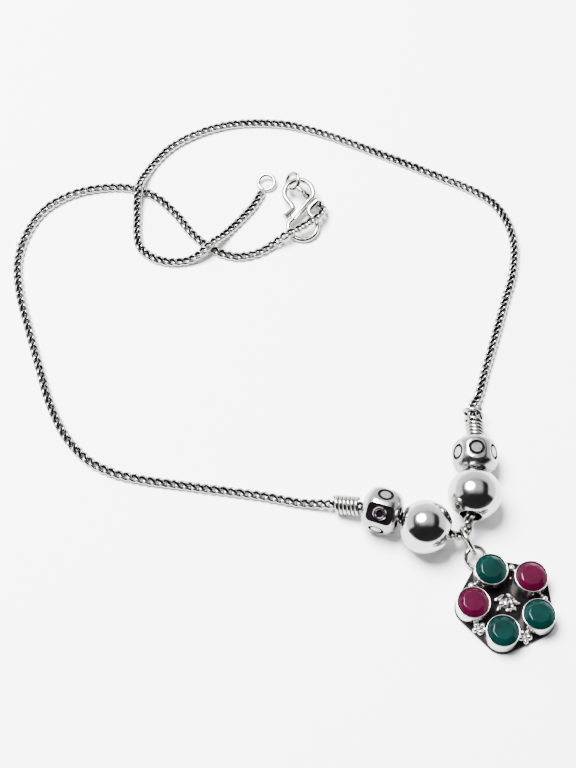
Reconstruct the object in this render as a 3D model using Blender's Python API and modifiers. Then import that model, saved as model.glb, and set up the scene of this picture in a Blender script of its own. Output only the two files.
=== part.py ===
"""Gemstone necklace, laid open on a table.

A curb chain carries two polished balls, two six-sided beads and two wire coils.
Between the balls a jump ring holds a flower pendant with five bezel-set stones.
One chain end has a plain ring, the other a ring that holds an S-shaped hook.

Sizes and places are in millimetres, and the model is built in metres, +Z up.
The necklace rests on z = 0, with the centre of its outline at x = 0, y = 0.
"""
from math import acos, asin, cos, pi, radians, sin, sqrt

import bmesh
import bpy
from mathutils import Matrix, Vector

MM = 0.001

# Clearances
GAP = 0.3                # pieces that touch on the real necklace
BEAD_GAP = 0.55          # along the chain, between two strung pieces
STONE_GAP = 0.12         # a stone in its bezel
COIL_SAG = 0.15          # a coil hangs on the chain
MOUTH_LIFT = 0.95        # the chain rides over the lip of a bore
MOUTH_DRIFT = 0.3        # and leans to the side that it turns to

# Chain, drawn as a tube
CHAIN_D = 1.35
CHAIN_STEP = 3.0         # longest step along the tube, in chain diameters
CHAIN_BEND = 18.0        # most that the tube turns between two points, degrees

# Polished balls
BALL_D = 10.0
BALL_LAND_D = 4.7        # flat land around each mouth of the bore
BORE_D = 4.1             # bore of the balls and the six-sided beads

# Six-sided beads: a barrel with flat sides
BEAD_L = 7.2
BEAD_D = 8.5             # barrel, cut flat on its sides
BEAD_FLATS = 7.8         # across two opposite sides
BEAD_ROUND = 2.2
BEAD_SIDES = 6
FLATS_REACH = 1.3        # length of the flat-sided cutter as a share of the bead's
PANEL_L = 4.9            # sunk panel on one side, along the bore
PANEL_W = 3.6
PANEL_ROUND = 0.9
PANEL_DEPTH = 0.45
RAISED_D = 1.9           # raised ring in the panel
MARK_D = 2.5             # engraved ring on each other side
MARK_W = 0.4
MARK_DEPTH = 0.25
MARK_BELOW = 0.05        # top of a raised ring below the flat

# Wire coils
COIL_D = 3.7
COIL_WIRE = 0.7
COIL_PITCH = 0.76
LOOSE_D = 4.0
LOOSE_PITCH = 1.85
TURN_POINTS = 10           # points in a turn

# Jump ring between the chain and the pendant
JUMP_D = 6.2
JUMP_WIRE = 0.9
JUMP_FACE = (-0.880, -0.415, -0.229)    # the way it faces, nearly upright

# Pendant
STONE_CIRCLE_R = 6.25
STONES = 5
PENDANT_TURN = 115.0     # direction of the first stone from the centre, degrees
PLATE_T = 0.7
PLATE_LIP = 0.15         # plate outside the bezels
BEZEL_D = 6.1
BEZEL_WALL = 0.3
BEZEL_SEAT = 0.25        # width of the ledge under the stone
BEZEL_TOP = 3.6          # rim above the table
GIRDLE_BELOW = 0.45      # stone's girdle under the rim
GIRDLE_T = 0.08
CROWN_H = 0.75
TABLE_SHARE = 0.56       # table of a stone as a share of its diameter
PAVILION_H = 1.5
GRAIN_D = 1.15           # small soldered balls
GRAIN_OUT = 0.75         # middle of a group outside the stones' circle
GRAINS = 3
GRAIN_SPREAD = 0.6
BOSS_R = 1.25            # domed flower in the middle
BOSS_H = 0.9
LEAVES = 7
LEAF_L = 1.9
LEAF_W = 0.84
LEAF_T = 0.76
LEAF_LEAN = 20.0
LEAF_BALL_D = 2.0        # ball that each leaf is stretched from
BAIL_D = 4.6
BAIL_WIRE = 0.85
BAIL_TURN = 120.0        # direction of the bail ring from the centre, degrees
BAIL_OVERLAP = 1.05      # bail ring under the edge of the bezel

# End rings
END_RING_D = 4.2
END_RING_WIRE = 0.85
CAP_D = 1.3
CAP_NECK_D = 0.8
CAP_L = 1.0
END_RING_TURN = 70.0     # the free ring's direction from its cap, degrees
END_RING_LEAN = 18.0     # and its lean on the cap

# S-hook
HOOK_WIRE = 1.0
HOOK_ARCH_R = 2.95       # centreline of each round end
HOOK_ARCH_X = -0.4
HOOK_ARCH_Y = 3.75
HOOK_TILT = 10.5         # it leans on the chain, degrees
HOOK_TIP_FLARE = 1.2     # tip as a share of the wire
HOOK_TIP_RISE = 0.4
BAR_TURN = 52.0
BAR_L = 5.2
BAR_W = 1.5
BAR_T = 0.9

# Places on the table, as the necklace lies
CENTRE = (-0.8, 0.0)            # middle of the outline before it is centred
HOOK_XY = (5.35, 35.7)
HOOK_THREAD = 0.64               # where the ring hangs, as a share of the arch
HOOK_RING_FACE = (-0.70, -0.30, 0.65)
HOOK_RING_SHIFT = (0.0, 0.0, -0.1)
HOOK_CAP_TURN = -51.5            # where the cap stands on that ring, degrees
HOOK_CAP_WAY = (0.75, -0.45, -0.5)      # and the way that it bends to the chain
MOUTH_LEFT = (-3.0, -0.5)        # inner mouth of each ball, from the junction
MOUTH_RIGHT = (1.2, 3.2)
JUMP_XY = (35.6, -38.7)

# Directions of the strung pieces from the junction outwards, degrees. Roll turns a bead about
# its bore, and the offsets shift a piece to its left, seen from the junction.
SIDES = {
    "left": {"mouth": MOUTH_LEFT, "ball": 160.0, "bead": 161.0, "coil": 168.0, "roll": 55.0, "panel": 0,
             "bead_off": -0.8, "coil_off": 0.0, "turns": 6.0, "loose": 0.0},
    "right": {"mouth": MOUTH_RIGHT, "ball": 78.0, "bead": 90.0, "coil": 93.0, "roll": 30.0, "panel": 4,
              "bead_off": 0.4, "coil_off": -0.6, "turns": 4.0, "loose": 2.0},
}

# Chain beyond the coils, from the coil to the end: x, y and how far it is lifted off the
# table, where 1 is the height of a crossing
ROUTE_LEFT = [
    (4.9, -29.9, 0.0), (-2.6, -28.4, 0.0), (-10.1, -27.3, 0.0), (-17.6, -26.2, 0.0),
    (-25.2, -25.0, 0.0), (-30.5, -23.6, 0.0), (-35.2, -21.0, 0.0), (-39.2, -16.7, 0.0),
    (-43.1, -9.2, 0.0), (-45.8, -1.0, 0.0), (-48.6, 8.1, 0.0), (-51.1, 17.0, 0.0),
    (-51.9, 23.7, 0.0), (-50.8, 30.0, 0.0), (-47.6, 36.2, 0.0), (-42.5, 40.1, 0.0),
    (-36.3, 41.9, 0.0), (-30.1, 41.9, 0.0), (-24.8, 39.8, 0.0), (-20.6, 35.7, 0.0),
    (-16.3, 30.0, 0.0), (-12.5, 26.7, 0.0), (-7.4, 25.0, 0.0), (-3.0, 26.1, 0.0),
]
# The same by the hook, counted from the hook's middle
ROUTE_HOOK = [
    (-5.55, -7.8, 0.15), (-2.85, -6.3, 0.92), (-0.05, -4.7, 0.95), (2.65, -2.9, 1.2),
    (4.15, -1.2, 0.86), (4.55, 0.5, 0.3), (3.75, 2.1, 0.0), (2.45, 3.0, 0.0),
    (1.25, 3.7, 0.25),
]
ROUTE_RIGHT = [
    (39.4, -7.6, 0.05), (41.1, -1.9, 0.0), (43.3, 5.3, 0.0), (45.8, 13.7, 0.0),
    (48.2, 22.2, 0.0), (48.7, 28.3, 0.0), (47.5, 33.9, 0.0), (45.0, 38.2, 0.0),
    (40.5, 41.6, 0.0), (34.4, 44.7, 0.0), (26.2, 48.7, 0.0), (17.9, 52.6, 0.0),
    (9.5, 56.2, 0.0), (3.0, 58.2, 0.0), (-3.3, 58.8, 0.0), (-9.6, 58.3, 0.0),
    (-15.9, 56.2, 0.0), (-21.7, 52.5, 0.0), (-25.4, 48.0, 0.0), (-27.2, 44.4, 0.42),
    (-28.0, 41.3, 1.03), (-28.3, 38.3, 0.42), (-28.2, 34.6, 0.0), (-28.1, 31.0, 0.0),
    (-27.2, 27.1, 0.0), (-24.7, 24.8, 0.0), (-21.0, 23.7, 0.0), (-17.6, 24.0, 0.05),
    (-15.2, 25.0, 0.53), (-13.1, 26.8, 1.03), (-11.2, 28.9, 0.53), (-9.2, 31.4, 0.05),
    (-6.8, 34.3, 0.0), (-4.5, 37.4, 0.0), (-2.95, 40.4, 0.0),
]


def clear_scene():
    """Remove what the scene holds."""
    for obj in list(bpy.data.objects):
        bpy.data.objects.remove(obj, do_unlink=True)


def new_collection(name):
    """A collection in the scene."""
    group = bpy.data.collections.new(name)
    bpy.context.scene.collection.children.link(group)
    return group


def new_material(name, colour, roughness, metallic):
    """A plain Principled material."""
    material = bpy.data.materials.new(name)
    material.use_nodes = True
    shader = material.node_tree.nodes["Principled BSDF"]
    shader.inputs["Base Color"].default_value = (*colour, 1.0)
    shader.inputs["Roughness"].default_value = roughness
    shader.inputs["Metallic"].default_value = metallic
    return material


def silver():
    """Polished sterling silver."""
    return new_material("silver", (0.88, 0.87, 0.85), 0.12, 1.0)


def dark_silver():
    """Silver with blackened hollows, as on the chain."""
    return new_material("dark_silver", (0.42, 0.41, 0.40), 0.3, 1.0)


def green_stone():
    """Deep green faceted stone."""
    return new_material("green_stone", (0.0, 0.11, 0.08), 0.06, 0.0)


def red_stone():
    """Deep purplish red faceted stone."""
    return new_material("red_stone", (0.24, 0.01, 0.07), 0.06, 0.0)


def add_piece(name, data, material, group, matrix=None):
    """An object of the model, with its own material."""
    obj = bpy.data.objects.new(name, data)
    group.objects.link(obj)
    obj.data.materials.clear()
    obj.data.materials.append(material)
    if matrix is not None:
        obj.matrix_world = matrix
    return obj


def add_cutter(name, data, matrix=None):
    """A shape that is only cut from a piece or joined to one."""
    obj = bpy.data.objects.new(name, data)
    TOOLS.objects.link(obj)
    obj.hide_render = True
    obj.display_type = "WIRE"
    if matrix is not None:
        obj.matrix_world = matrix
    return obj


def route_point(x, y, lift):
    """A place on the chain's route: lying on the table, or lifted off it."""
    return table_point(x, y, CHAIN_D / 2 + lift * (CHAIN_D + GAP))


def table_point(x, y, z):
    """A place on the table, in metres, with the outline centred."""
    return Vector((x - CENTRE[0], y - CENTRE[1], z)) * MM


def heading(angle):
    """Level unit vector at an angle in degrees."""
    return Vector((cos(radians(angle)), sin(radians(angle)), 0.0))


def frame_at(origin, along, up=Vector((0, 0, 1))):
    """Placement whose Z axis is along, with its Y axis near up."""
    z_axis = along.normalized()
    x_axis = up.cross(z_axis).normalized()
    y_axis = z_axis.cross(x_axis)
    turn = Matrix((x_axis, y_axis, z_axis)).transposed().to_4x4()
    return Matrix.Translation(origin) @ turn


def smooth_shading(mesh):
    """Shade round faces smooth and keep the sharp edges."""
    mesh.shade_smooth()
    mesh.set_sharp_from_angle(angle=radians(35))


def join(target, tool, operation):
    """Boolean of a piece with a tool shape."""
    modifier = target.modifiers.new(operation.lower(), "BOOLEAN")
    modifier.operation = operation
    modifier.object = tool
    modifier.solver = "EXACT"
    modifier.use_self = True


def wire_curve(name, points, radius, cyclic=False, shares=None):
    """Curve data for a round wire through points in metres."""
    curve = bpy.data.curves.new(name, "CURVE")
    curve.dimensions = "3D"
    curve.bevel_depth = radius
    curve.bevel_resolution = 2
    curve.use_fill_caps = True
    spline = curve.splines.new("POLY")
    spline.points.add(len(points) - 1)
    for index, (point, place) in enumerate(zip(spline.points, points)):
        point.co = (*place, 1.0)
        point.radius = shares[index] if shares else 1.0
    spline.use_cyclic_u = cyclic
    return curve


def curve_mesh(name, curve):
    """The curve's surface as a welded mesh."""
    obj = bpy.data.objects.new(name, curve)
    TOOLS.objects.link(obj)
    bpy.context.view_layer.update()
    source = obj.evaluated_get(bpy.context.evaluated_depsgraph_get())
    mesh = bpy.data.meshes.new_from_object(source)
    bpy.data.objects.remove(obj, do_unlink=True)
    weld = bmesh.new()
    weld.from_mesh(mesh)
    bmesh.ops.remove_doubles(weld, verts=weld.verts, dist=0.01 * MM)
    bmesh.ops.recalc_face_normals(weld, faces=weld.faces)
    weld.to_mesh(mesh)
    weld.free()
    return mesh


def turned_mesh(name, profile, steps):
    """A closed profile of (radius, height) points in mm, turned about Z.

    The outer side runs from top to bottom.
    """
    mesh = bpy.data.meshes.new(name)
    count = len(profile)
    edges = [(i, (i + 1) % count) for i in range(count)]
    if profile[0][0] == 0.0 and profile[-1][0] == 0.0:
        edges.pop()
    mesh.from_pydata([(r * MM, 0.0, z * MM) for r, z in profile], edges, [])
    obj = bpy.data.objects.new(name, mesh)
    TOOLS.objects.link(obj)
    screw = obj.modifiers.new("turn", "SCREW")
    screw.steps = steps
    screw.render_steps = steps
    screw.use_merge_vertices = True
    screw.merge_threshold = 0.00001
    bpy.context.view_layer.update()
    source = obj.evaluated_get(bpy.context.evaluated_depsgraph_get())
    result = bpy.data.meshes.new_from_object(source)
    bpy.data.objects.remove(obj, do_unlink=True)
    return result


def torus_mesh(name, outer_d, wire, around=30, across=8):
    """A round ring of wire in the XY plane."""
    mid = (outer_d - wire) / 2
    profile = [(mid + wire / 2 * cos(t), wire / 2 * sin(t))
               for t in (pi / 2 - 2 * pi * i / across for i in range(across))]
    return turned_mesh(name, profile, around)


def plate_mesh(name, outline, low, high):
    """A flat outline in mm, extruded between two heights."""
    curve = bpy.data.curves.new(name, "CURVE")
    curve.dimensions = "2D"
    curve.fill_mode = "BOTH"
    curve.extrude = (high - low) / 2 * MM
    spline = curve.splines.new("POLY")
    spline.points.add(len(outline) - 1)
    for point, (x, y) in zip(spline.points, outline):
        point.co = (x * MM, y * MM, 0.0, 1.0)
    spline.use_cyclic_u = True
    mesh = curve_mesh(name, curve)
    mesh.transform(Matrix.Translation((0, 0, (high + low) / 2 * MM)))
    return mesh


def rounded_rectangle(length, width, corner, steps=4):
    """Outline of a rectangle with round corners, in mm."""
    return [((length / 2 - corner) * sx + corner * cos(t), (width / 2 - corner) * sy + corner * sin(t))
            for sx, sy, start in ((1, 1, 0), (-1, 1, 90), (-1, -1, 180), (1, -1, 270))
            for t in (radians(start + 90 * i / steps) for i in range(steps + 1))]


def smooth_curve(points, pieces=24):
    """Close points on a smooth curve that passes through every given point."""
    reach = [(b - a).length for a, b in zip(points, points[1:])]
    slopes = [(points[1] - points[0]) / reach[0]]
    for i in range(1, len(points) - 1):
        before = (points[i] - points[i - 1]) / reach[i - 1]
        after = (points[i + 1] - points[i]) / reach[i]
        slopes.append((before * reach[i] + after * reach[i - 1]) / (reach[i] + reach[i - 1]))
    slopes.append((points[-1] - points[-2]) / reach[-1])
    curve = []
    for i, length in enumerate(reach):
        for k in range(pieces):
            t = k / pieces
            curve.append(points[i] * (1 + 2 * t) * (1 - t) ** 2
                         + slopes[i] * length * t * (1 - t) ** 2
                         + points[i + 1] * t * t * (3 - 2 * t)
                         + slopes[i + 1] * length * t * t * (t - 1))
    curve.append(points[-1])
    return curve


def trimmed(curve, length):
    """A curve without its first stretch of the given length."""
    gone = 0.0
    for i, (a, b) in enumerate(zip(curve, curve[1:])):
        step = (b - a).length
        if gone + step > length:
            return [a.lerp(b, (length - gone) / step)] + curve[i + 1:]
        gone += step
    return curve[-2:]


def thinned(curve, longest, bend):
    """Fewer points on a curve: none further apart or turned further than given."""
    kept = [curve[0]]
    gone = 0.0
    turned = 0.0
    for a, b, c in zip(curve, curve[1:], curve[2:]):
        gone += (b - a).length
        turned += (b - a).angle(c - b)
        if gone + (c - b).length > longest or turned > bend:
            kept.append(b)
            gone = 0.0
            turned = 0.0
    return kept + [curve[-1]]


def ball_half():
    """From a ball's centre to the mouth of its bore."""
    return sqrt((BALL_D / 2) ** 2 - (BALL_LAND_D / 2) ** 2)


def bead_height(roll):
    """Height of a six-sided bead's centre when it rests on the table."""
    step = 360.0 / BEAD_SIDES
    off = abs((roll - 90.0 + step / 2) % step - step / 2)
    flat = acos(BEAD_FLATS / BEAD_D)
    return BEAD_D / 2 * cos(max(0.0, flat - radians(off)))


def hanging_height(centre_height):
    """Height of the chain in a bore: it lies near the bottom."""
    return centre_height - BORE_D / 2 + CHAIN_D / 2 + GAP


def jump_axes():
    """The jump ring's face direction, and the way from its chain side to its bail side."""
    face = Vector(JUMP_FACE).normalized()
    level = Vector((0, 0, 1)).cross(face).normalized()
    rise = face.cross(level)
    return face, (level * 0.9 - rise * 0.436).normalized(), rise


def jump_centre():
    """Centre of the jump ring, in mm on the table: it stands on its edge."""
    _, _, rise = jump_axes()
    mid_r = (JUMP_D - JUMP_WIRE) / 2
    return Vector((*JUMP_XY, mid_r * rise.z + JUMP_WIRE / 2))


def junction():
    """Where the chain passes through the jump ring, in mm on the table."""
    _, outward, _ = jump_axes()
    return jump_centre() - outward * (JUMP_D / 2 - JUMP_WIRE - CHAIN_D / 2 - GAP)


def bail_hold():
    """Where the bail ring's wire passes through the jump ring, in mm."""
    _, outward, _ = jump_axes()
    return jump_centre() + outward * (JUMP_D / 2 - JUMP_WIRE - BAIL_WIRE / 2 - GAP)


def side_places(side):
    """Mouths and centres of one side's ball, bead and coil, in mm."""
    spec = SIDES[side]
    middle = junction()
    ball_z = BALL_D / 2
    bead_z = bead_height(spec["roll"])
    inner = Vector((middle.x + spec["mouth"][0], middle.y + spec["mouth"][1], ball_z))
    ball = inner + heading(spec["ball"]) * ball_half()
    outer = ball + heading(spec["ball"]) * ball_half()
    bead_in = outer + heading(spec["ball"]) * BEAD_GAP + heading(spec["bead"] + 90) * spec["bead_off"]
    bead_in.z = bead_z
    bead = bead_in + heading(spec["bead"]) * BEAD_L / 2
    bead_out = bead + heading(spec["bead"]) * BEAD_L / 2
    length = spec["turns"] * COIL_PITCH + spec["loose"] * LOOSE_PITCH
    coil_in = bead_out + heading(spec["bead"]) * (BEAD_GAP + COIL_WIRE / 2)
    coil_in += heading(spec["coil"] + 90) * spec["coil_off"]
    coil_in.z = hanging_height(bead_z) - COIL_SAG
    rest_z = (LOOSE_D if spec["loose"] else COIL_D) / 2
    slope = asin((rest_z - coil_in.z) / length)
    coil_out = coil_in + heading(spec["coil"]) * length * cos(slope)
    coil_out.z = rest_z
    return {"ball_in": inner, "ball": ball, "ball_out": outer, "bead": bead,
            "bead_in": bead_in, "bead_out": bead_out, "coil_in": coil_in, "coil_out": coil_out}


def side_route(side):
    """Chain through one side's strung pieces, from the junction outwards, in mm."""
    places = side_places(side)
    in_ball = hanging_height(places["ball"].z)
    in_bead = hanging_height(places["bead"].z)
    lean = junction() - places["ball_in"]
    lean.z = 0.0
    across = heading(SIDES[side]["ball"]).cross(Vector((0, 0, 1)))
    drift = across * lean.normalized().dot(across) * MOUTH_DRIFT
    heights = {"ball_in": in_ball + MOUTH_LIFT, "ball": in_ball, "ball_out": in_ball + MOUTH_LIFT,
               "bead_in": in_bead + MOUTH_LIFT, "bead": in_bead, "bead_out": in_bead}
    route = []
    for name, height in heights.items():
        point = places[name] + (drift if name == "ball_in" else Vector())
        point.z = height
        route.append(point)
    route.append(places["coil_in"])
    route.append(places["coil_out"])
    return route


def hook_matrix():
    """Placement of the S-hook: its low end on the table, its high end leaning up."""
    tilt = radians(HOOK_TILT)
    height = (HOOK_ARCH_Y + HOOK_ARCH_R) * sin(tilt) + HOOK_WIRE / 2
    lean = Matrix.Rotation(tilt, 4, "X")
    return Matrix.Translation(table_point(*HOOK_XY, height)) @ lean


def hook_half():
    """Half of the S from its middle to a tip, in mm in the hook's own plane."""
    reach = BAR_L / 2
    half = [Vector((0, 0, 0)), Vector((reach * cos(radians(BAR_TURN)), reach * sin(radians(BAR_TURN)), 0))]
    for step in range(14):
        turn = radians(-12 + 16 * step)
        half.append(Vector((HOOK_ARCH_X + HOOK_ARCH_R * cos(turn),
                            HOOK_ARCH_Y + HOOK_ARCH_R * sin(turn), 0)))
    # Neck and tip, as shares of the arch radius
    for x, y, rise in ((-0.86, 0.62, 0.0), (-0.62, 0.30, 0.0), (-0.56, 0.08, 0.0),
                       (-0.65, -0.14, 0.2), (-0.88, -0.38, 0.6), (-1.14, -0.62, 1.0)):
        half.append(Vector((x * HOOK_ARCH_R, y * HOOK_ARCH_R, rise * HOOK_TIP_RISE)))
    return half


def hook_ring_place():
    """Centre and face of the ring that hangs in the hook's upper arch, in mm."""
    turn = radians(180 * HOOK_THREAD)
    local = Vector((HOOK_ARCH_X + HOOK_ARCH_R * cos(turn), HOOK_ARCH_Y + HOOK_ARCH_R * sin(turn), 0))
    centre = hook_matrix() @ (local * MM) / MM
    return centre + Vector(HOOK_RING_SHIFT), Vector(HOOK_RING_FACE).normalized()


def end_places():
    """Rings at the chain ends: centre, face, and both ends of the cap, in metres."""
    mid_r = (END_RING_D - END_RING_WIRE) / 2
    sink = END_RING_WIRE / 3
    last = route_point(*ROUTE_RIGHT[-1])
    way = (last - route_point(*ROUTE_RIGHT[-2])).normalized()
    near = last + way * GAP * MM
    far = near + way * CAP_L * MM
    lean = radians(END_RING_LEAN)
    level = heading(END_RING_TURN) * cos(lean) + Vector((0, 0, 1)) * sin(lean)
    right_face = Vector((0, 0, 1)) * cos(lean) - heading(END_RING_TURN) * sin(lean)
    right_centre = far + level * (mid_r + END_RING_WIRE / 2 - sink) * MM
    right_centre.z = (END_RING_WIRE / 2 + mid_r * sin(lean)) * MM
    centre, face = hook_ring_place()
    side = heading(HOOK_CAP_TURN)
    reach = (side - face * side.dot(face)).normalized()
    out = (centre + reach * (mid_r + END_RING_WIRE / 2 - sink)) * MM
    tip = out + (reach + Vector(HOOK_CAP_WAY)).normalized() * CAP_L * MM
    return {"right": (right_centre, right_face, far, near),
            "left": (centre * MM, face, out, tip)}


def chain_curves():
    """Both halves of the chain's centreline, from the junction outwards, in metres."""
    offset = Vector((CENTRE[0], CENTRE[1], 0.0))
    halves = {}
    by_hook = [(HOOK_XY[0] + x, HOOK_XY[1] + y, lift) for x, y, lift in ROUTE_HOOK]
    for side, floor in (("left", ROUTE_LEFT + by_hook), ("right", ROUTE_RIGHT)):
        points = [(point - offset) * MM for point in side_route(side)]
        points += [route_point(*place) for place in floor]
        halves[side] = points
    _, _, out, tip = end_places()["left"]
    halves["left"].append(tip + (tip - out).normalized() * GAP * 1.5 * MM)
    middle = (junction() - offset) * MM
    whole = smooth_curve(halves["left"][::-1] + [middle] + halves["right"])
    for point in whole:
        point.z = max(point.z, CHAIN_D / 2 * MM)
    cut = min(range(len(whole)), key=lambda i: (whole[i] - middle).length)
    left = trimmed(whole[cut::-1], GAP / 2 * MM)
    right = trimmed(whole[cut:], GAP / 2 * MM)
    return {"left": left, "right": right}


def make_chain(side, curve):
    """One half of the chain as a tube."""
    points = thinned(curve, CHAIN_STEP * CHAIN_D * MM, radians(CHAIN_BEND))
    data = wire_curve("chain_" + side, points, CHAIN_D / 2 * MM)
    return add_piece("chain_" + side, data, dark_silver(), NECKLACE)


def make_ball(side):
    """A polished ball with a straight bore and a flat land at each mouth."""
    half = ball_half()
    lean = asin(BALL_LAND_D / BALL_D)
    arc = 12
    outer = [(BALL_D / 2 * sin(t), BALL_D / 2 * cos(t))
             for t in (lean + (pi - 2 * lean) * i / arc for i in range(arc + 1))]
    profile = [(BORE_D / 2, half)] + outer + [(BORE_D / 2, -half)]
    mesh = turned_mesh("ball_" + side, profile, 30)
    smooth_shading(mesh)
    place = side_places(side)["ball"]
    matrix = frame_at(table_point(*place), heading(SIDES[side]["ball"]))
    return add_piece("ball_" + side, mesh, silver(), NECKLACE, matrix)


def ring_band(name, middle_d, low, high):
    """A flat band between two heights, in mm."""
    inner = (middle_d - MARK_W) / 2
    outer = (middle_d + MARK_W) / 2
    return turned_mesh(name, [(inner, high), (outer, high), (outer, low), (inner, low)], 14)


def barrel_profile(half_l, radius, corner, steps=4):
    """Outer side of a barrel with round ends, top to bottom, in mm."""
    top = [(radius - corner + corner * sin(t), half_l - corner + corner * cos(t))
           for t in (radians(90 * i / steps) for i in range(steps + 1))]
    return top + [(r, -z) for r, z in reversed(top)]


def make_bead(side):
    """A six-sided bead: bored, with a sunk panel on one side and rings on the others."""
    place = side_places(side)["bead"]
    way = heading(SIDES[side]["bead"])
    matrix = frame_at(table_point(*place), way)
    outer = barrel_profile(BEAD_L / 2, BEAD_D / 2, BEAD_ROUND)
    profile = [(BORE_D / 2, BEAD_L / 2)] + outer + [(BORE_D / 2, -BEAD_L / 2)]
    bead = add_piece("facet_bead_" + side, turned_mesh("bead", profile, 30), silver(), NECKLACE, matrix)
    corner = BEAD_FLATS / 2 / cos(pi / BEAD_SIDES)
    prism = bmesh.new()
    bmesh.ops.create_cone(prism, cap_ends=True, segments=BEAD_SIDES, radius1=corner * MM,
                          radius2=corner * MM, depth=BEAD_L * FLATS_REACH * MM)
    flats = bpy.data.meshes.new("flats")
    prism.to_mesh(flats)
    prism.free()
    first = radians(SIDES[side]["roll"])
    turn = Matrix.Rotation(first - pi / BEAD_SIDES - pi / 2, 4, "Z")
    join(bead, add_cutter("flats_" + side, flats, matrix @ turn), "INTERSECT")
    face = BEAD_FLATS / 2
    floor = face - PANEL_DEPTH
    outline = rounded_rectangle(PANEL_W, PANEL_L, PANEL_ROUND)
    panel = plate_mesh("panel", outline, floor, face + PANEL_DEPTH)
    raised = ring_band("raised", RAISED_D, floor - MARK_DEPTH, face - MARK_BELOW)
    groove = ring_band("groove", MARK_D, face - MARK_DEPTH, face + MARK_DEPTH)
    for index in range(BEAD_SIDES):
        angle = first + 2 * pi / BEAD_SIDES * index
        side_turn = Matrix.Rotation(angle, 4, "Z") @ Matrix.Rotation(pi / 2, 4, "Y")
        out = matrix @ side_turn @ Matrix.Rotation(pi / 2, 4, "Z")
        label = f"{side}_{index}"
        if index != SIDES[side]["panel"]:
            join(bead, add_cutter("groove_" + label, groove, out), "DIFFERENCE")
        else:
            join(bead, add_cutter("panel_" + label, panel, out), "DIFFERENCE")
            join(bead, add_cutter("raised_" + label, raised, out), "UNION")
    return bead


def make_coil(side):
    """Wire wound round the chain, with its outer turns loose on one side."""
    spec = SIDES[side]
    places = side_places(side)
    start = table_point(*places["coil_in"])
    axis = (table_point(*places["coil_out"]) - start).normalized()
    across = axis.cross(Vector((0, 0, 1))).normalized()
    rise = across.cross(axis)
    tight = spec["turns"]
    total = tight + spec["loose"]
    count = round(total * TURN_POINTS)
    points = []
    for step in range(count + 1):
        turn = total * step / count
        loose = max(0.0, turn - tight)
        swell = min(1.0, loose)
        radius = ((COIL_D - COIL_WIRE) * (1 - swell) + (LOOSE_D - COIL_WIRE) * swell) / 2
        reach = min(turn, tight) * COIL_PITCH + loose * LOOSE_PITCH
        angle = 2 * pi * turn
        offset = across * cos(angle) * radius + rise * sin(angle) * radius
        points.append(start + (axis * reach + offset) * MM)
    data = wire_curve("coil_" + side, points, COIL_WIRE / 2 * MM)
    return add_piece("coil_" + side, data, silver(), NECKLACE)


def make_jump_ring():
    """The upright ring that joins the pendant to the chain."""
    face, _, _ = jump_axes()
    matrix = frame_at(table_point(*jump_centre()), face)
    mesh = torus_mesh("jump_ring", JUMP_D, JUMP_WIRE)
    smooth_shading(mesh)
    return add_piece("jump_ring", mesh, silver(), NECKLACE, matrix)


def bail_place():
    """Centre of the bail ring, the pendant's centre and the bail's lean, in mm."""
    mid_r = (BAIL_D - BAIL_WIRE) / 2
    hold = bail_hold()
    low = BAIL_WIRE / 2
    lean = asin((hold.z - low) / (2 * mid_r))
    way = -heading(BAIL_TURN)
    bail = hold + way * mid_r * cos(lean)
    bail.z = (hold.z + low) / 2
    rim_r = STONE_CIRCLE_R + BEZEL_D / 2
    pendant = hold + way * (mid_r * 2 * cos(lean) - BAIL_OVERLAP + BAIL_WIRE / 2 + rim_r)
    pendant.z = 0.0
    return bail, pendant, lean


def stone_angle(index):
    """Direction of a stone from the pendant's centre, degrees."""
    return PENDANT_TURN - 360.0 / STONES * index


def bezel_cup(name):
    """A cup in mm that holds a stone, its rim at the top."""
    radius = BEZEL_D / 2
    inner = radius - BEZEL_WALL
    girdle = BEZEL_TOP - GIRDLE_BELOW
    seat = girdle - STONE_GAP * 2
    floor = seat - PAVILION_H
    return turned_mesh(name, [(0, floor), (inner - BEZEL_SEAT, seat), (inner, seat), (inner, BEZEL_TOP),
                              (radius, BEZEL_TOP), (radius, PLATE_T / 2), (0, PLATE_T / 2)], 26)


def setting_outline():
    """The plate's outline in mm: round corners about the stones, straight between."""
    corner = BEZEL_D / 2 + PLATE_LIP
    outline = []
    for index in range(STONES):
        middle = PENDANT_TURN + 360.0 / STONES * index
        centre = heading(middle) * STONE_CIRCLE_R
        for step in range(9):
            turn = heading(middle - 180.0 / STONES + 360.0 / STONES * step / 8)
            outline.append(((centre + turn * corner).x, (centre + turn * corner).y))
    return outline


def joined_copies(name, mesh, places):
    """One mesh that holds a copy at each placement."""
    whole = bmesh.new()
    for matrix in places:
        part = mesh.copy()
        part.transform(matrix)
        whole.from_mesh(part)
        bpy.data.meshes.remove(part)
    result = bpy.data.meshes.new(name)
    whole.to_mesh(result)
    whole.free()
    return result


def grain_mesh(diameter):
    """A small soldered ball."""
    grain = bmesh.new()
    bmesh.ops.create_icosphere(grain, subdivisions=1, radius=diameter / 2 * MM)
    mesh = bpy.data.meshes.new("grain")
    grain.to_mesh(mesh)
    grain.free()
    return mesh


def grain_places():
    """Three small balls between each two stones."""
    places = []
    for index in range(STONES):
        middle = stone_angle(index) - 180.0 / STONES
        centre = heading(middle) * (STONE_CIRCLE_R + GRAIN_OUT)
        for grain in range(GRAINS):
            spot = centre + heading(middle + 360.0 / GRAINS * grain) * GRAIN_D * GRAIN_SPREAD
            places.append(Matrix.Translation(Vector((spot.x, spot.y, PLATE_T + GRAIN_D * 0.3)) * MM))
    return places


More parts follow.
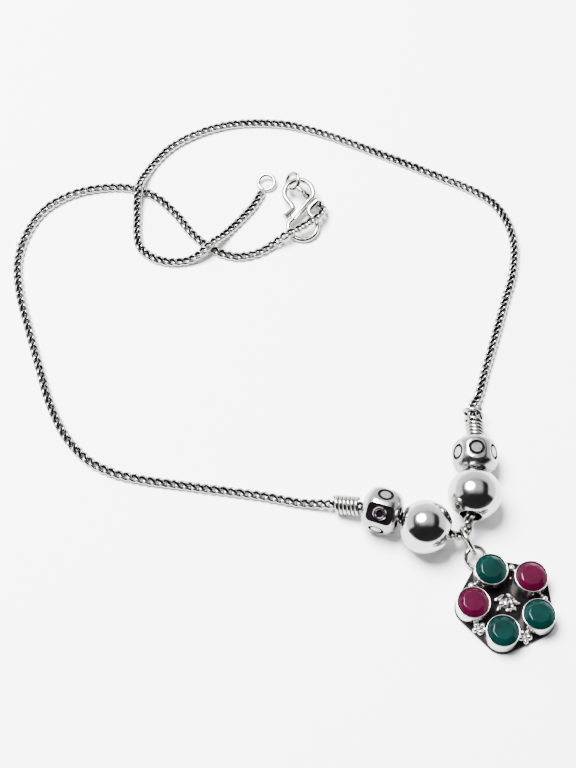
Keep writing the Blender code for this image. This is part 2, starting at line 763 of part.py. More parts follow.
def leaf_places():
    """Leaves laid round the middle flower, tips out and down."""
    places = []
    for index in range(LEAVES):
        turn = 360.0 / LEAVES * index + PENDANT_TURN
        spot = heading(turn) * (BOSS_R + LEAF_L / 4)
        move = Matrix.Translation(Vector((spot.x, spot.y, PLATE_T + LEAF_T / 3)) * MM)
        aim = Matrix.Rotation(radians(turn), 4, "Z") @ Matrix.Rotation(radians(LEAF_LEAN), 4, "Y")
        stretch = Matrix.Diagonal((LEAF_L / 2, LEAF_W / 2, LEAF_T / 2, 1.0))
        places.append(move @ aim @ stretch)
    return places


def make_setting():
    """The pendant without its stones: plate, bezels, grains, flower and bail ring."""
    bail, pendant, lean = bail_place()
    origin = Matrix.Translation(table_point(*pendant))
    plate = plate_mesh("pendant_setting", setting_outline(), 0.0, PLATE_T)
    setting = add_piece("pendant_setting", plate, silver(), NECKLACE, origin)
    spots = [Matrix.Translation(heading(stone_angle(i)) * STONE_CIRCLE_R * MM) for i in range(STONES)]
    join(setting, add_cutter("bezels", joined_copies("bezels", bezel_cup("bezel"), spots), origin), "UNION")
    grains = joined_copies("grains", grain_mesh(GRAIN_D), grain_places())
    join(setting, add_cutter("grains", grains, origin), "UNION")
    dome = [(0, PLATE_T + BOSS_H), (BOSS_R * 0.55, PLATE_T + BOSS_H * 0.83),
            (BOSS_R * 0.9, PLATE_T + BOSS_H * 0.45), (BOSS_R, PLATE_T / 2), (0, PLATE_T / 2)]
    boss = turned_mesh("boss", dome, 20)
    join(setting, add_cutter("boss", boss, origin), "UNION")
    leaves = joined_copies("leaves", grain_mesh(LEAF_BALL_D), leaf_places())
    join(setting, add_cutter("leaves", leaves, origin), "UNION")
    face = heading(BAIL_TURN) * -sin(lean) + Vector((0, 0, 1)) * cos(lean)
    matrix = frame_at(table_point(*bail), face, heading(BAIL_TURN))
    join(setting, add_cutter("bail", torus_mesh("bail", BAIL_D, BAIL_WIRE), matrix), "UNION")
    return setting


def stone_mesh(name):
    """A round cut stone: table, crown and pavilion facets about a sixteen-sided girdle."""
    radius = BEZEL_D / 2 - BEZEL_WALL - STONE_GAP
    girdle = BEZEL_TOP - GIRDLE_BELOW
    rings = ((TABLE_SHARE * radius, girdle + CROWN_H, 8, 0.5),
             (0.8 * radius, girdle + CROWN_H * 0.55, 8, 0.0),
             (radius, girdle + GIRDLE_T, 16, 0.0), (radius, girdle, 16, 0.0),
             (0.5 * radius, girdle - PAVILION_H * 0.42, 8, 0.5))
    cut = bmesh.new()
    for ring_r, height, sides, shift in rings:
        for i in range(sides):
            turn = 2 * pi * (i + shift) / sides
            cut.verts.new((ring_r * cos(turn) * MM, ring_r * sin(turn) * MM, height * MM))
    cut.verts.new((0, 0, (girdle - PAVILION_H + STONE_GAP) * MM))
    bmesh.ops.convex_hull(cut, input=cut.verts)
    bmesh.ops.dissolve_limit(cut, angle_limit=radians(0.5), verts=cut.verts, edges=cut.edges)
    bmesh.ops.recalc_face_normals(cut, faces=cut.faces)
    mesh = bpy.data.meshes.new(name)
    cut.to_mesh(mesh)
    cut.free()
    return mesh


def make_stones():
    """Five stones, three green and two red, in the bezels."""
    _, pendant, _ = bail_place()
    kinds = ("green_top", "red_right", "green_right", "green_bottom", "red_left")
    for index, kind in enumerate(kinds):
        spot = pendant + heading(stone_angle(index)) * STONE_CIRCLE_R
        name = "stone_" + kind
        material = green_stone() if kind.startswith("green") else red_stone()
        matrix = Matrix.Translation(table_point(*spot)) @ Matrix.Rotation(radians(11 * index), 4, "Z")
        add_piece(name, stone_mesh(name), material, NECKLACE, matrix)


def make_end_ring(side):
    """A ring at a chain end with the soldered cap that takes the last link."""
    centre, face, far, near = end_places()[side]
    ring = add_piece("end_ring_" + side, torus_mesh("end_ring", END_RING_D, END_RING_WIRE),
                     silver(), NECKLACE, frame_at(centre, face, Vector((0, 1, 0))))
    cap = turned_mesh("cap", [(0, 0), (CAP_NECK_D / 2, 0), (CAP_D / 2, -CAP_L * 0.7), (CAP_D / 2, -CAP_L),
                              (0, -CAP_L)], 16)
    join(ring, add_cutter("cap_" + side, cap, frame_at(far, far - near)), "UNION")
    return ring


def make_hook():
    """The S-hook: bent wire with flared tips and a flattened straight middle."""
    half = hook_half()
    whole = [Vector((-p.x, -p.y, p.z)) for p in half[:0:-1]] + half
    path = thinned(smooth_curve([p * MM for p in whole], 6), 1.2 * MM, radians(14))
    flare = 5
    shares = [1.0] * len(path)
    for i in range(flare):
        share = 1 + (HOOK_TIP_FLARE - 1) * (flare - i) / flare
        shares[i] = share
        shares[-1 - i] = share
    matrix = hook_matrix()
    mesh = curve_mesh("s_hook", wire_curve("s_hook", path, HOOK_WIRE / 2 * MM, shares=shares))
    hook = add_piece("s_hook", mesh, silver(), NECKLACE, matrix)
    bar = plate_mesh("bar", rounded_rectangle(BAR_T, BAR_W, BAR_T * 0.3, 3), -BAR_L / 2, BAR_L / 2)
    way = heading(BAR_TURN)
    turn = frame_at(Vector(), way)
    join(hook, add_cutter("bar", bar, matrix @ turn @ Matrix.Rotation(pi / 2, 4, "Z")), "UNION")
    return hook


clear_scene()
NECKLACE = new_collection("gemstone_necklace")
TOOLS = new_collection("cutters")
for half_name, half_curve in chain_curves().items():
    make_chain(half_name, half_curve)
for name in SIDES:
    make_ball(name)
    make_bead(name)
    make_coil(name)
    make_end_ring(name)
make_jump_ring()
make_setting()
make_stones()
make_hook()
bpy.context.view_layer.update()
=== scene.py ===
"""Looks of the gemstone necklace, laid open on a white table.

The solids are the frame. The chain becomes interlocked curb links on the same route, and
the balls, beads, coils, rings, hook, setting and stones get their fine shapes here.
Sizes and places are in millimetres, in the frame's own axes, and MM turns them into metres.
"""

from math import acos, asin, cos, pi, radians, sin, sqrt

import bmesh
import bpy
import numpy as np
from mathutils import Matrix, Vector


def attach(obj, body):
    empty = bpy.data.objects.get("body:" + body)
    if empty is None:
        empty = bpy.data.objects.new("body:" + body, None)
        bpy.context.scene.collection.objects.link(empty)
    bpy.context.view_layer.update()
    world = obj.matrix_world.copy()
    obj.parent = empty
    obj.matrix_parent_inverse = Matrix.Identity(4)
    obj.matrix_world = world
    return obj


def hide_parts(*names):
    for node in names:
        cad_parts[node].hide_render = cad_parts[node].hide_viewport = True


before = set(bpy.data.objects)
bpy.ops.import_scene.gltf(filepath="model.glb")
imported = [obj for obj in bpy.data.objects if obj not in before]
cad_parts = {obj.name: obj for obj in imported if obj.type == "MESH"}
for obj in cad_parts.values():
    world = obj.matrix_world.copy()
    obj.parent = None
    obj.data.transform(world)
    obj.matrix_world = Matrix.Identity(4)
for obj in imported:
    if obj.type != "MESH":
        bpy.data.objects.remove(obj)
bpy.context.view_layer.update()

MM = 0.001
UP = Vector((0, 0, 1))

# Camera, fitted to the round balls and stones
CAMERA_LENS = 79.2
SENSOR = 36.0
CAMERA_ELEVATION = 61.1
CAMERA_DISTANCE = 0.329
LOOK_AT = (3.5, -4.15)

# Room and lamp, in metres. Bounds are low, high and soft edge, of offset over height
FLOOR_HALF = 0.9
FLOOR_TONES = ((0.90, 0.90, 0.90), (0.92, 0.92, 0.92))
DARK_RIGHT = (-1.55, 1.45, 0.25)
DARK_AWAY = (-0.6, 1.0, 0.3)
WINDOW_RIGHT = (-0.6, 0.55, 0.2)
WINDOW_AWAY = (-0.2, 0.85, 0.3)
TENT_AWAY = (-0.2, 2.0, 0.07)   # of the direction itself
TENT_TONE = (0.99, 0.985, 1.0)
TENT_BRIGHT = 1.8
WALL_BRIGHT = 3.2          # next to the table
WALL_TOP = 0.6             # height over distance where the walls end
WINDOW_BRIGHT = 1.3
ROOM_DARK = 0.04
HORIZON = 0.02             # least height that an offset is divided by
LAMP_D = 0.4
LAMP_WATTS = 38.0
LAMP_PLACE = (-0.21, 0.15, 0.6)

# Chain
CHAIN_D = 1.35
GAP = 0.3
LINK_WIRE = 0.66
LINK_A = 1.08            # half length of a link's centreline
LINK_B = 0.62            # half width
LINK_H = 0.31            # twist height
LINK_AROUND = 26
LINK_SECTION = 9
LINK_REACH = 8           # points of the curve each way that give a link its direction
PITCH = {"left": 1.55, "right": 1.38}
ROLL_MOST = 9.0          # the links roll this way and that along the chain, in degrees
ROLL_RATE = 0.21         # radians to a millimetre
ROLL_START = {"left": 0.0, "right": 1.7}
# Polish of a link: the least, and what facing outward, facing up or down and the belly add
POLISH_LEAST = 0.30
POLISH_OUTWARD = 0.34
POLISH_LEVEL = 0.20
POLISH_BELLY = 0.16

# Strung pieces
BEAD_GAP = 0.55
MOUTH_LIFT = 0.95
MOUTH_DRIFT = 0.3
COIL_SAG = 0.15
BALL_D = 10.0
BALL_LAND_D = 4.7
BORE_D = 4.1
BEAD_L = 7.2
BEAD_D = 8.5
BEAD_FLATS = 7.8
BEAD_ROUND = 2.7
BEAD_SIDES = 6
PANEL_L = 4.9
PANEL_W = 3.6
PANEL_ROUND = 0.9
PANEL_DEPTH = 0.45
RAISED_D = 2.0
MARK_D = 2.5
MARK_W = 0.55
MARK_DEPTH = 0.3
COIL_D = 3.7
COIL_WIRE = 0.7
COIL_PITCH = 0.76
LOOSE_D = 4.0
LOOSE_PITCH = 1.85
COIL_SLANT = {"left": 0.35, "right": -0.3}
COIL_STEPS = 40          # points to a turn
COIL_POLISH = 0.12       # at the wire's middle
COIL_POLISH_RISE = 0.95  # and so much more at its outside
TOOL_PAST = 1.0          # how far a cutting shape reaches past what it cuts

# Jump ring and pendant
JUMP_D = 6.2
JUMP_WIRE = 0.9
JUMP_FACE = (-0.880, -0.415, -0.229)
JUMP_WAY = (0.9, -0.436)   # from its chain side to its bail side: level and rising shares
STONE_CIRCLE_R = 6.25
STONES = 5
PENDANT_TURN = 115.0
PLATE_T = 0.7
PLATE_LIP = 0.15
PLATE_EDGE = 0.12
OUTLINE_STEPS = 16
BEZEL_D = 6.1
BEZEL_WALL = 0.18
BEZEL_TOP = 3.6
GIRDLE_BELOW = 0.22
SEAT_BELOW = 0.2           # from the girdle down to the seat
STONE_SIDES = 8
STONE_TURN = 11            # each stone is turned by this much more than the last
TABLE_SHARE = 0.66         # radius of the table, over the stone's
CROWN_H = 0.75
CROWN_SHARE = 0.86         # radius half way up the crown
CROWN_RISE = 0.54          # and its share of the crown's height
GIRDLE_T = 0.08
PAVILION_H = 1.5
PAVILION_SHARE = 0.5       # radius half way down the pavilion
PAVILION_SINK = 0.42       # and its share of the pavilion's height
STONE_EDGE = 0.06
STONE_GAP = 0.12
GRAIN_OUT = 0.75
GRAIN_LIFT = 0.25          # of a ball's middle over the plate, over its diameter
# Soldered balls between the stones: x and y from their middle, diameter
SINGLE_GRAINS = ((0.0, 0.0, 1.25), (-0.75, -0.35, 0.6), (0.7, -0.4, 0.7), (0.1, -1.9, 0.45))
GRAIN_CLUSTER = ((-0.6, 0.35, 1.25), (0.35, 0.8, 1.05), (-0.8, -0.55, 1.0), (0.05, -0.8, 1.2),
                 (0.8, -0.1, 1.15), (0.1, 0.1, 0.7))
CLUSTER_GAPS = (2, 3)      # gaps between stones that carry a cluster
# Leaves of the middle: x, y, direction in degrees, length, width, height
FLOWER = (
    (-0.2, -0.1, 84, 2.5, 1.5, 2.0), (-1.2, 1.1, 34, 2.8, 1.0, 1.2), (0.9, 1.2, -36, 2.3, 1.0, 1.2),
    (1.9, 0.15, -20, 1.6, 0.9, 1.1), (1.2, -0.8, -50, 1.8, 1.0, 1.1), (-1.35, -0.85, 55, 2.1, 1.0, 1.1),
    (-1.0, 0.1, 72, 1.9, 0.9, 1.4), (0.4, -1.3, 12, 1.6, 0.9, 1.0), (0.75, 0.15, 104, 1.9, 0.9, 1.5),
)
LEAF_LEAN = 14
LEAF_LIFT = 0.2            # of a leaf's middle over the plate, over its height
BAIL_D = 4.6
BAIL_WIRE = 0.85
BAIL_TURN = 120.0
BAIL_OVERLAP = 1.05

# End rings and hook
END_RING_D = 4.2
END_RING_WIRE = 0.85
CAP_D = 1.3
CAP_NECK_D = 0.8
CAP_L = 1.0
CAP_NECK = 0.7             # share of the cap's length that widens
END_RING_TURN = 70.0
END_RING_LEAN = 18.0
HOOK_WIRE = 1.12
HOOK_ARCH_R = 2.95
HOOK_ARCH_X = -0.4
HOOK_ARCH_Y = 3.75
HOOK_TILT = 10.5
HOOK_ARCH_BEND = (-12, 196)   # degrees
HOOK_ARCH_STEPS = 13
HOOK_TIP_FLARE = 1.2
HOOK_FLARE_POINTS = 26
HOOK_TIP_RISE = 0.4
# The tip's points after the arch: x and y over the arch's radius, and share of the rise
HOOK_TIP = ((-0.86, 0.62, 0.0), (-0.62, 0.30, 0.0), (-0.56, 0.08, 0.0),
            (-0.65, -0.14, 0.2), (-0.88, -0.38, 0.6), (-1.14, -0.62, 1.0))
BAR_TURN = 52.0
BAR_L = 5.2
BAR_W = 1.5
BAR_T = 0.9
BAR_ROUND = 0.35
BAR_EDGE = 0.2

# Steps round the turned shapes and their bends
BALL_AROUND = 128
BALL_STEPS = 72
BEAD_AROUND = 96
BAND_AROUND = 40
BEZEL_AROUND = 72
CAP_AROUND = 32
RING_AROUND = 96
RING_ACROSS = 24
LIP_STEPS = 6
RIM_STEPS = 10
CORNER_STEPS = 8
END_STEPS = 10

# Finishes. Noise scales are in waves to a metre, and roughness is low and high
MARKS = {"rough": 900.0, "tone": 240.0, "bump": 2600.0, "worn": 1400.0}
BLACK_MARKS = {"rough": 1500.0, "tone": 700.0}
BLACK_ROUGH = (0.13, 0.25)
WORN_STEP = (0.42, 0.74)   # polish where the black ends and where the bright begins
WORN_SPREAD = 0.14
WORN_BLACK = (0.006, 0.005, 0.006)
WORN_BRIGHT = (0.38, 0.375, 0.365)
WORN_ROUGH = (0.5, 0.13)   # black and bright

# Places as the necklace lies, before its outline is centred
CENTRE = (-0.8, 0.0)
HOOK_XY = (5.35, 35.7)
HOOK_THREAD = 0.64
HOOK_RING_FACE = (-0.70, -0.30, 0.65)
HOOK_RING_SHIFT = (0.0, 0.0, -0.1)
HOOK_CAP_TURN = -51.5
HOOK_CAP_WAY = (0.75, -0.45, -0.5)
MOUTH_LEFT = (-3.0, -0.5)
MOUTH_RIGHT = (1.2, 3.2)
JUMP_XY = (35.6, -38.7)
SIDES = {
    "left": {"mouth": MOUTH_LEFT, "ball": 160.0, "bead": 161.0, "coil": 168.0, "roll": 55.0, "panel": 0,
             "bead_off": -0.8, "coil_off": 0.0, "turns": 6.0, "loose": 0.0},
    "right": {"mouth": MOUTH_RIGHT, "ball": 78.0, "bead": 90.0, "coil": 93.0, "roll": 30.0, "panel": 4,
              "bead_off": 0.4, "coil_off": -0.6, "turns": 4.0, "loose": 2.0},
}

# Chain beyond the coils, from the coil to the end: x, y and lift, where 1 is a crossing
ROUTE_LEFT = [
    (4.9, -29.9, 0.0), (-2.6, -28.4, 0.0), (-10.1, -27.3, 0.0), (-17.6, -26.2, 0.0),
    (-25.2, -25.0, 0.0), (-30.5, -23.6, 0.0), (-35.2, -21.0, 0.0), (-39.2, -16.7, 0.0),
    (-43.1, -9.2, 0.0), (-45.8, -1.0, 0.0), (-48.6, 8.1, 0.0), (-51.1, 17.0, 0.0),
    (-51.9, 23.7, 0.0), (-50.8, 30.0, 0.0), (-47.6, 36.2, 0.0), (-42.5, 40.1, 0.0),
    (-36.3, 41.9, 0.0), (-30.1, 41.9, 0.0), (-24.8, 39.8, 0.0), (-20.6, 35.7, 0.0),
    (-16.3, 30.0, 0.0), (-12.5, 26.7, 0.0), (-7.4, 25.0, 0.0), (-3.0, 26.1, 0.0),
]
# The same by the hook, counted from the hook's middle
ROUTE_HOOK = [
    (-5.55, -7.8, 0.15), (-2.85, -6.3, 0.92), (-0.05, -4.7, 0.95), (2.65, -2.9, 1.2),
    (4.15, -1.2, 0.86), (4.55, 0.5, 0.3), (3.75, 2.1, 0.0), (2.45, 3.0, 0.0),
    (1.25, 3.7, 0.25),
]
ROUTE_RIGHT = [
    (39.4, -7.6, 0.05), (41.1, -1.9, 0.0), (43.3, 5.3, 0.0), (45.8, 13.7, 0.0),
    (48.2, 22.2, 0.0), (48.7, 28.3, 0.0), (47.5, 33.9, 0.0), (45.0, 38.2, 0.0),
    (40.5, 41.6, 0.0), (34.4, 44.7, 0.0), (26.2, 48.7, 0.0), (17.9, 52.6, 0.0),
    (9.5, 56.2, 0.0), (3.0, 58.2, 0.0), (-3.3, 58.8, 0.0), (-9.6, 58.3, 0.0),
    (-15.9, 56.2, 0.0), (-21.7, 52.5, 0.0), (-25.4, 48.0, 0.0), (-27.2, 44.4, 0.42),
    (-28.0, 41.3, 1.03), (-28.3, 38.3, 0.42), (-28.2, 34.6, 0.0), (-28.1, 31.0, 0.0),
    (-27.2, 27.1, 0.0), (-24.7, 24.8, 0.0), (-21.0, 23.7, 0.0), (-17.6, 24.0, 0.05),
    (-15.2, 25.0, 0.53), (-13.1, 26.8, 1.03), (-11.2, 28.9, 0.53), (-9.2, 31.4, 0.05),
    (-6.8, 34.3, 0.0), (-4.5, 37.4, 0.0), (-2.95, 40.4, 0.0),
]


# Placement

def table_point(x, y, z):
    """A place on the table, in metres, with the outline centred."""
    return Vector((x - CENTRE[0], y - CENTRE[1], z)) * MM


def route_point(x, y, lift):
    """A place on the chain's route: lying on the table, or lifted off it."""
    return table_point(x, y, CHAIN_D / 2 + lift * (CHAIN_D + GAP))


def heading(angle):
    """Level unit vector at an angle in degrees."""
    return Vector((cos(radians(angle)), sin(radians(angle)), 0.0))


def frame_at(origin, along, up=UP):
    """Placement whose Z axis is along, with its Y axis near up."""
    z_axis = along.normalized()
    x_axis = up.cross(z_axis).normalized()
    y_axis = z_axis.cross(x_axis)
    turn = Matrix((x_axis, y_axis, z_axis)).transposed().to_4x4()
    return Matrix.Translation(origin) @ turn


def smooth_curve(points, pieces=24):
    """Close points on a smooth curve that passes through every given point."""
    reach = [(b - a).length for a, b in zip(points, points[1:])]
    slopes = [(points[1] - points[0]) / reach[0]]
    for i in range(1, len(points) - 1):
        before = (points[i] - points[i - 1]) / reach[i - 1]
        after = (points[i + 1] - points[i]) / reach[i]
        slopes.append((before * reach[i] + after * reach[i - 1]) / (reach[i] + reach[i - 1]))
    slopes.append((points[-1] - points[-2]) / reach[-1])
    curve = []
    for i, length in enumerate(reach):
        for k in range(pieces):
            t = k / pieces
            curve.append(points[i] * (1 + 2 * t) * (1 - t) ** 2
                         + slopes[i] * length * t * (1 - t) ** 2
                         + points[i + 1] * t * t * (3 - 2 * t)
                         + slopes[i + 1] * length * t * t * (t - 1))
    curve.append(points[-1])
    return curve


def trimmed(curve, length):
    """A curve without its first stretch of the given length."""
    gone = 0.0
    for i, (a, b) in enumerate(zip(curve, curve[1:])):
        step = (b - a).length
        if gone + step > length:
            return [a.lerp(b, (length - gone) / step)] + curve[i + 1:]
        gone += step
    return curve[-2:]


def ball_half():
    """From a ball's centre to the mouth of its bore."""
    return sqrt((BALL_D / 2) ** 2 - (BALL_LAND_D / 2) ** 2)


def bead_height(roll):
    """Height of a six-sided bead's centre when it rests on the table."""
    step = 360.0 / BEAD_SIDES
    off = abs((roll - 90.0 + step / 2) % step - step / 2)
    flat = acos(BEAD_FLATS / BEAD_D)
    return BEAD_D / 2 * cos(max(0.0, flat - radians(off)))


def hanging_height(centre_height):
    """Height of the chain in a bore: it lies near the bottom."""
    return centre_height - BORE_D / 2 + CHAIN_D / 2 + GAP


def jump_axes():
    """The jump ring's face direction, and the way from its chain side to its bail side."""
    face = Vector(JUMP_FACE).normalized()
    level = UP.cross(face).normalized()
    rise = face.cross(level)
    return face, (level * JUMP_WAY[0] + rise * JUMP_WAY[1]).normalized(), rise


def jump_centre():
    """Centre of the jump ring, in mm on the table: it stands on its edge."""
    _, _, rise = jump_axes()
    mid_r = (JUMP_D - JUMP_WIRE) / 2
    return Vector((*JUMP_XY, mid_r * rise.z + JUMP_WIRE / 2))


def junction():
    """Where the chain passes through the jump ring, in mm on the table."""
    _, outward, _ = jump_axes()
    return jump_centre() - outward * (JUMP_D / 2 - JUMP_WIRE - CHAIN_D / 2 - GAP)


def bail_hold():
    """Where the bail ring's wire passes through the jump ring, in mm."""
    _, outward, _ = jump_axes()
    return jump_centre() + outward * (JUMP_D / 2 - JUMP_WIRE - BAIL_WIRE / 2 - GAP)


def side_places(side):
    """Mouths and centres of one side's ball, bead and coil, in mm."""
    spec = SIDES[side]
    middle = junction()
    bead_z = bead_height(spec["roll"])
    inner = Vector((middle.x + spec["mouth"][0], middle.y + spec["mouth"][1], BALL_D / 2))
    ball = inner + heading(spec["ball"]) * ball_half()
    outer = ball + heading(spec["ball"]) * ball_half()
    bead_in = outer + heading(spec["ball"]) * BEAD_GAP + heading(spec["bead"] + 90) * spec["bead_off"]
    bead_in.z = bead_z
    bead = bead_in + heading(spec["bead"]) * BEAD_L / 2
    bead_out = bead + heading(spec["bead"]) * BEAD_L / 2
    length = spec["turns"] * COIL_PITCH + spec["loose"] * LOOSE_PITCH
    coil_in = bead_out + heading(spec["bead"]) * (BEAD_GAP + COIL_WIRE / 2)
    coil_in += heading(spec["coil"] + 90) * spec["coil_off"]
    coil_in.z = hanging_height(bead_z) - COIL_SAG
    rest_z = (LOOSE_D if spec["loose"] else COIL_D) / 2
    slope = asin((rest_z - coil_in.z) / length)
    coil_out = coil_in + heading(spec["coil"]) * length * cos(slope)
    coil_out.z = rest_z
    return {"ball_in": inner, "ball": ball, "ball_out": outer, "bead": bead,
            "bead_in": bead_in, "bead_out": bead_out, "coil_in": coil_in, "coil_out": coil_out}


def side_route(side):
    """Chain through one side's strung pieces, from the junction outwards, in mm."""
    places = side_places(side)
    in_ball = hanging_height(places["ball"].z)
    in_bead = hanging_height(places["bead"].z)
    lean = junction() - places["ball_in"]
    lean.z = 0.0
    across = heading(SIDES[side]["ball"]).cross(UP)
    drift = across * lean.normalized().dot(across) * MOUTH_DRIFT
    heights = {"ball_in": in_ball + MOUTH_LIFT, "ball": in_ball, "ball_out": in_ball + MOUTH_LIFT,
               "bead_in": in_bead + MOUTH_LIFT, "bead": in_bead, "bead_out": in_bead}
    route = []
    for name, height in heights.items():
        point = places[name] + (drift if name == "ball_in" else Vector())
        point.z = height
        route.append(point)
    route.append(places["coil_in"])
    route.append(places["coil_out"])
    return route


def hook_matrix():
    """Placement of the S-hook: its low end on the table, its high end leaning up."""
    tilt = radians(HOOK_TILT)
    height = (HOOK_ARCH_Y + HOOK_ARCH_R) * sin(tilt) + HOOK_WIRE / 2
    return Matrix.Translation(table_point(*HOOK_XY, height)) @ Matrix.Rotation(tilt, 4, "X")


def hook_ring_place():
    """Centre and face of the ring that hangs in the hook's upper arch, in mm."""
    turn = radians(180 * HOOK_THREAD)
    local = Vector((HOOK_ARCH_X + HOOK_ARCH_R * cos(turn), HOOK_ARCH_Y + HOOK_ARCH_R * sin(turn), 0))
    centre = hook_matrix() @ (local * MM) / MM
    return centre + Vector(HOOK_RING_SHIFT), Vector(HOOK_RING_FACE).normalized()


def end_places():
    """Rings at the chain ends: centre, face, and both ends of the cap, in metres."""
    mid_r = (END_RING_D - END_RING_WIRE) / 2
    sink = END_RING_WIRE / 3
    last = route_point(*ROUTE_RIGHT[-1])
    way = (last - route_point(*ROUTE_RIGHT[-2])).normalized()
    near = last + way * GAP * MM
    far = near + way * CAP_L * MM
    lean = radians(END_RING_LEAN)
    level = heading(END_RING_TURN) * cos(lean) + UP * sin(lean)
    right_face = UP * cos(lean) - heading(END_RING_TURN) * sin(lean)
    right_centre = far + level * (mid_r + END_RING_WIRE / 2 - sink) * MM
    right_centre.z = (END_RING_WIRE / 2 + mid_r * sin(lean)) * MM
    centre, face = hook_ring_place()
    side = heading(HOOK_CAP_TURN)
    reach = (side - face * side.dot(face)).normalized()
    out = (centre + reach * (mid_r + END_RING_WIRE / 2 - sink)) * MM
    tip = out + (reach + Vector(HOOK_CAP_WAY)).normalized() * CAP_L * MM
    return {"right": (right_centre, right_face, far, near), "left": (centre * MM, face, out, tip)}


def chain_curves():
    """Both halves of the chain's centreline, from the junction outwards, in metres."""
    offset = Vector((CENTRE[0], CENTRE[1], 0.0))
    halves = {}
    by_hook = [(HOOK_XY[0] + x, HOOK_XY[1] + y, lift) for x, y, lift in ROUTE_HOOK]
    for side, floor in (("left", ROUTE_LEFT + by_hook), ("right", ROUTE_RIGHT)):
        points = [(point - offset) * MM for point in side_route(side)]
        points += [route_point(*place) for place in floor]
        halves[side] = points
    _, _, out, tip = end_places()["left"]
    halves["left"].append(tip + (tip - out).normalized() * GAP * 1.5 * MM)
    middle = (junction() - offset) * MM
    whole = smooth_curve(halves["left"][::-1] + [middle] + halves["right"])
    for point in whole:
        point.z = max(point.z, CHAIN_D / 2 * MM)
    cut = min(range(len(whole)), key=lambda i: (whole[i] - middle).length)
    return {"left": whole[cut::-1], "right": whole[cut:]}


def bail_place():
    """Centre of the bail ring, the pendant's centre and the bail's lean, in mm."""
    mid_r = (BAIL_D - BAIL_WIRE) / 2
    hold = bail_hold()
    low = BAIL_WIRE / 2
    lean = asin((hold.z - low) / (2 * mid_r))
    way = -heading(BAIL_TURN)
    bail = hold + way * mid_r * cos(lean)
    bail.z = (hold.z + low) / 2
    rim_r = STONE_CIRCLE_R + BEZEL_D / 2
    pendant = hold + way * (mid_r * 2 * cos(lean) - BAIL_OVERLAP + BAIL_WIRE / 2 + rim_r)
    pendant.z = 0.0
    return bail, pendant, lean


def stone_angle(index):
    """Direction of a stone from the pendant's centre, degrees."""
    return PENDANT_TURN - 360.0 / STONES * index


# Materials

def node_material(name):
    """A material with its node tree and its Principled shader."""
    material = bpy.data.materials.new(name)
    material.use_nodes = True
    return material, material.node_tree, material.node_tree.nodes["Principled BSDF"]


def noise_between(tree, scale, low, high, detail=3.0):
    """Noise in the object's own coordinates, stretched between two values."""
    place = tree.nodes.new("ShaderNodeTexCoord")
    noise = tree.nodes.new("ShaderNodeTexNoise")
    noise.inputs["Scale"].default_value = scale
    noise.inputs["Detail"].default_value = detail
    spread = tree.nodes.new("ShaderNodeMapRange")
    spread.inputs["From Min"].default_value = 0.3
    spread.inputs["From Max"].default_value = 0.7
    spread.inputs["To Min"].default_value = low
    spread.inputs["To Max"].default_value = high
    tree.links.new(place.outputs["Object"], noise.inputs["Vector"])
    tree.links.new(noise.outputs["Fac"], spread.inputs["Value"])
    return spread.outputs["Result"]


def blend(tree, share, first, second):
    """Mix of two colours by a share."""
    mix = tree.nodes.new("ShaderNodeMix")
    mix.data_type = "RGBA"
    tree.links.new(share, mix.inputs["Factor"])
    for socket, colour in ((mix.inputs[6], first), (mix.inputs[7], second)):
        if isinstance(colour, tuple):
            socket.default_value = (*colour, 1.0)
        else:
            tree.links.new(colour, socket)
    return mix.outputs[2]


def bright_silver(name, low, high, tone, dull):
    """Polished silver with fine handling marks."""
    material, tree, shader = node_material(name)
    shader.inputs["Metallic"].default_value = 1.0
    tree.links.new(noise_between(tree, MARKS["rough"], low, high), shader.inputs["Roughness"])
    colour = blend(tree, noise_between(tree, MARKS["tone"], 0.0, 1.0), dull, tone)
    tree.links.new(colour, shader.inputs["Base Color"])
    bump = tree.nodes.new("ShaderNodeBump")
    bump.inputs["Strength"].default_value = 0.06
    bump.inputs["Distance"].default_value = 0.02 * MM
    tree.links.new(noise_between(tree, MARKS["bump"], 0.0, 1.0), bump.inputs["Height"])
    tree.links.new(bump.outputs["Normal"], shader.inputs["Normal"])
    return material


def black_silver(name, tone):
    """Blackened silver, as in the hollows and panels."""
    material, tree, shader = node_material(name)
    shader.inputs["Specular IOR Level"].default_value = 0.05
    rough = noise_between(tree, BLACK_MARKS["rough"], *BLACK_ROUGH)
    tree.links.new(rough, shader.inputs["Roughness"])
    share = noise_between(tree, BLACK_MARKS["tone"], 0.0, 1.0)
    lighter = tuple(c * 3 for c in tone)
    tree.links.new(blend(tree, share, tone, lighter), shader.inputs["Base Color"])
    return material


def worn_silver(name):
    """Bright on what stands out and black in the hollows, from the polish attribute."""
    material, tree, shader = node_material(name)
    shader.inputs["Metallic"].default_value = 1.0
    polish = tree.nodes.new("ShaderNodeAttribute")
    polish.attribute_name = "polish"
    spread = tree.nodes.new("ShaderNodeMath")
    spread.operation = "ADD"
    tree.links.new(polish.outputs["Fac"], spread.inputs[0])
    wear = noise_between(tree, MARKS["worn"], -WORN_SPREAD, WORN_SPREAD)
    tree.links.new(wear, spread.inputs[1])
    step = tree.nodes.new("ShaderNodeMapRange")
    step.interpolation_type = "SMOOTHSTEP"
    step.inputs["From Min"].default_value = WORN_STEP[0]
    step.inputs["From Max"].default_value = WORN_STEP[1]
    tree.links.new(spread.outputs["Value"], step.inputs["Value"])
    share = step.outputs["Result"]
    tone = blend(tree, share, WORN_BLACK, WORN_BRIGHT)
    tree.links.new(tone, shader.inputs["Base Color"])
    rough = tree.nodes.new("ShaderNodeMapRange")
    rough.inputs["To Min"].default_value = WORN_ROUGH[0]
    rough.inputs["To Max"].default_value = WORN_ROUGH[1]
    tree.links.new(share, rough.inputs["Value"])
    tree.links.new(rough.outputs["Result"], shader.inputs["Roughness"])
    return material


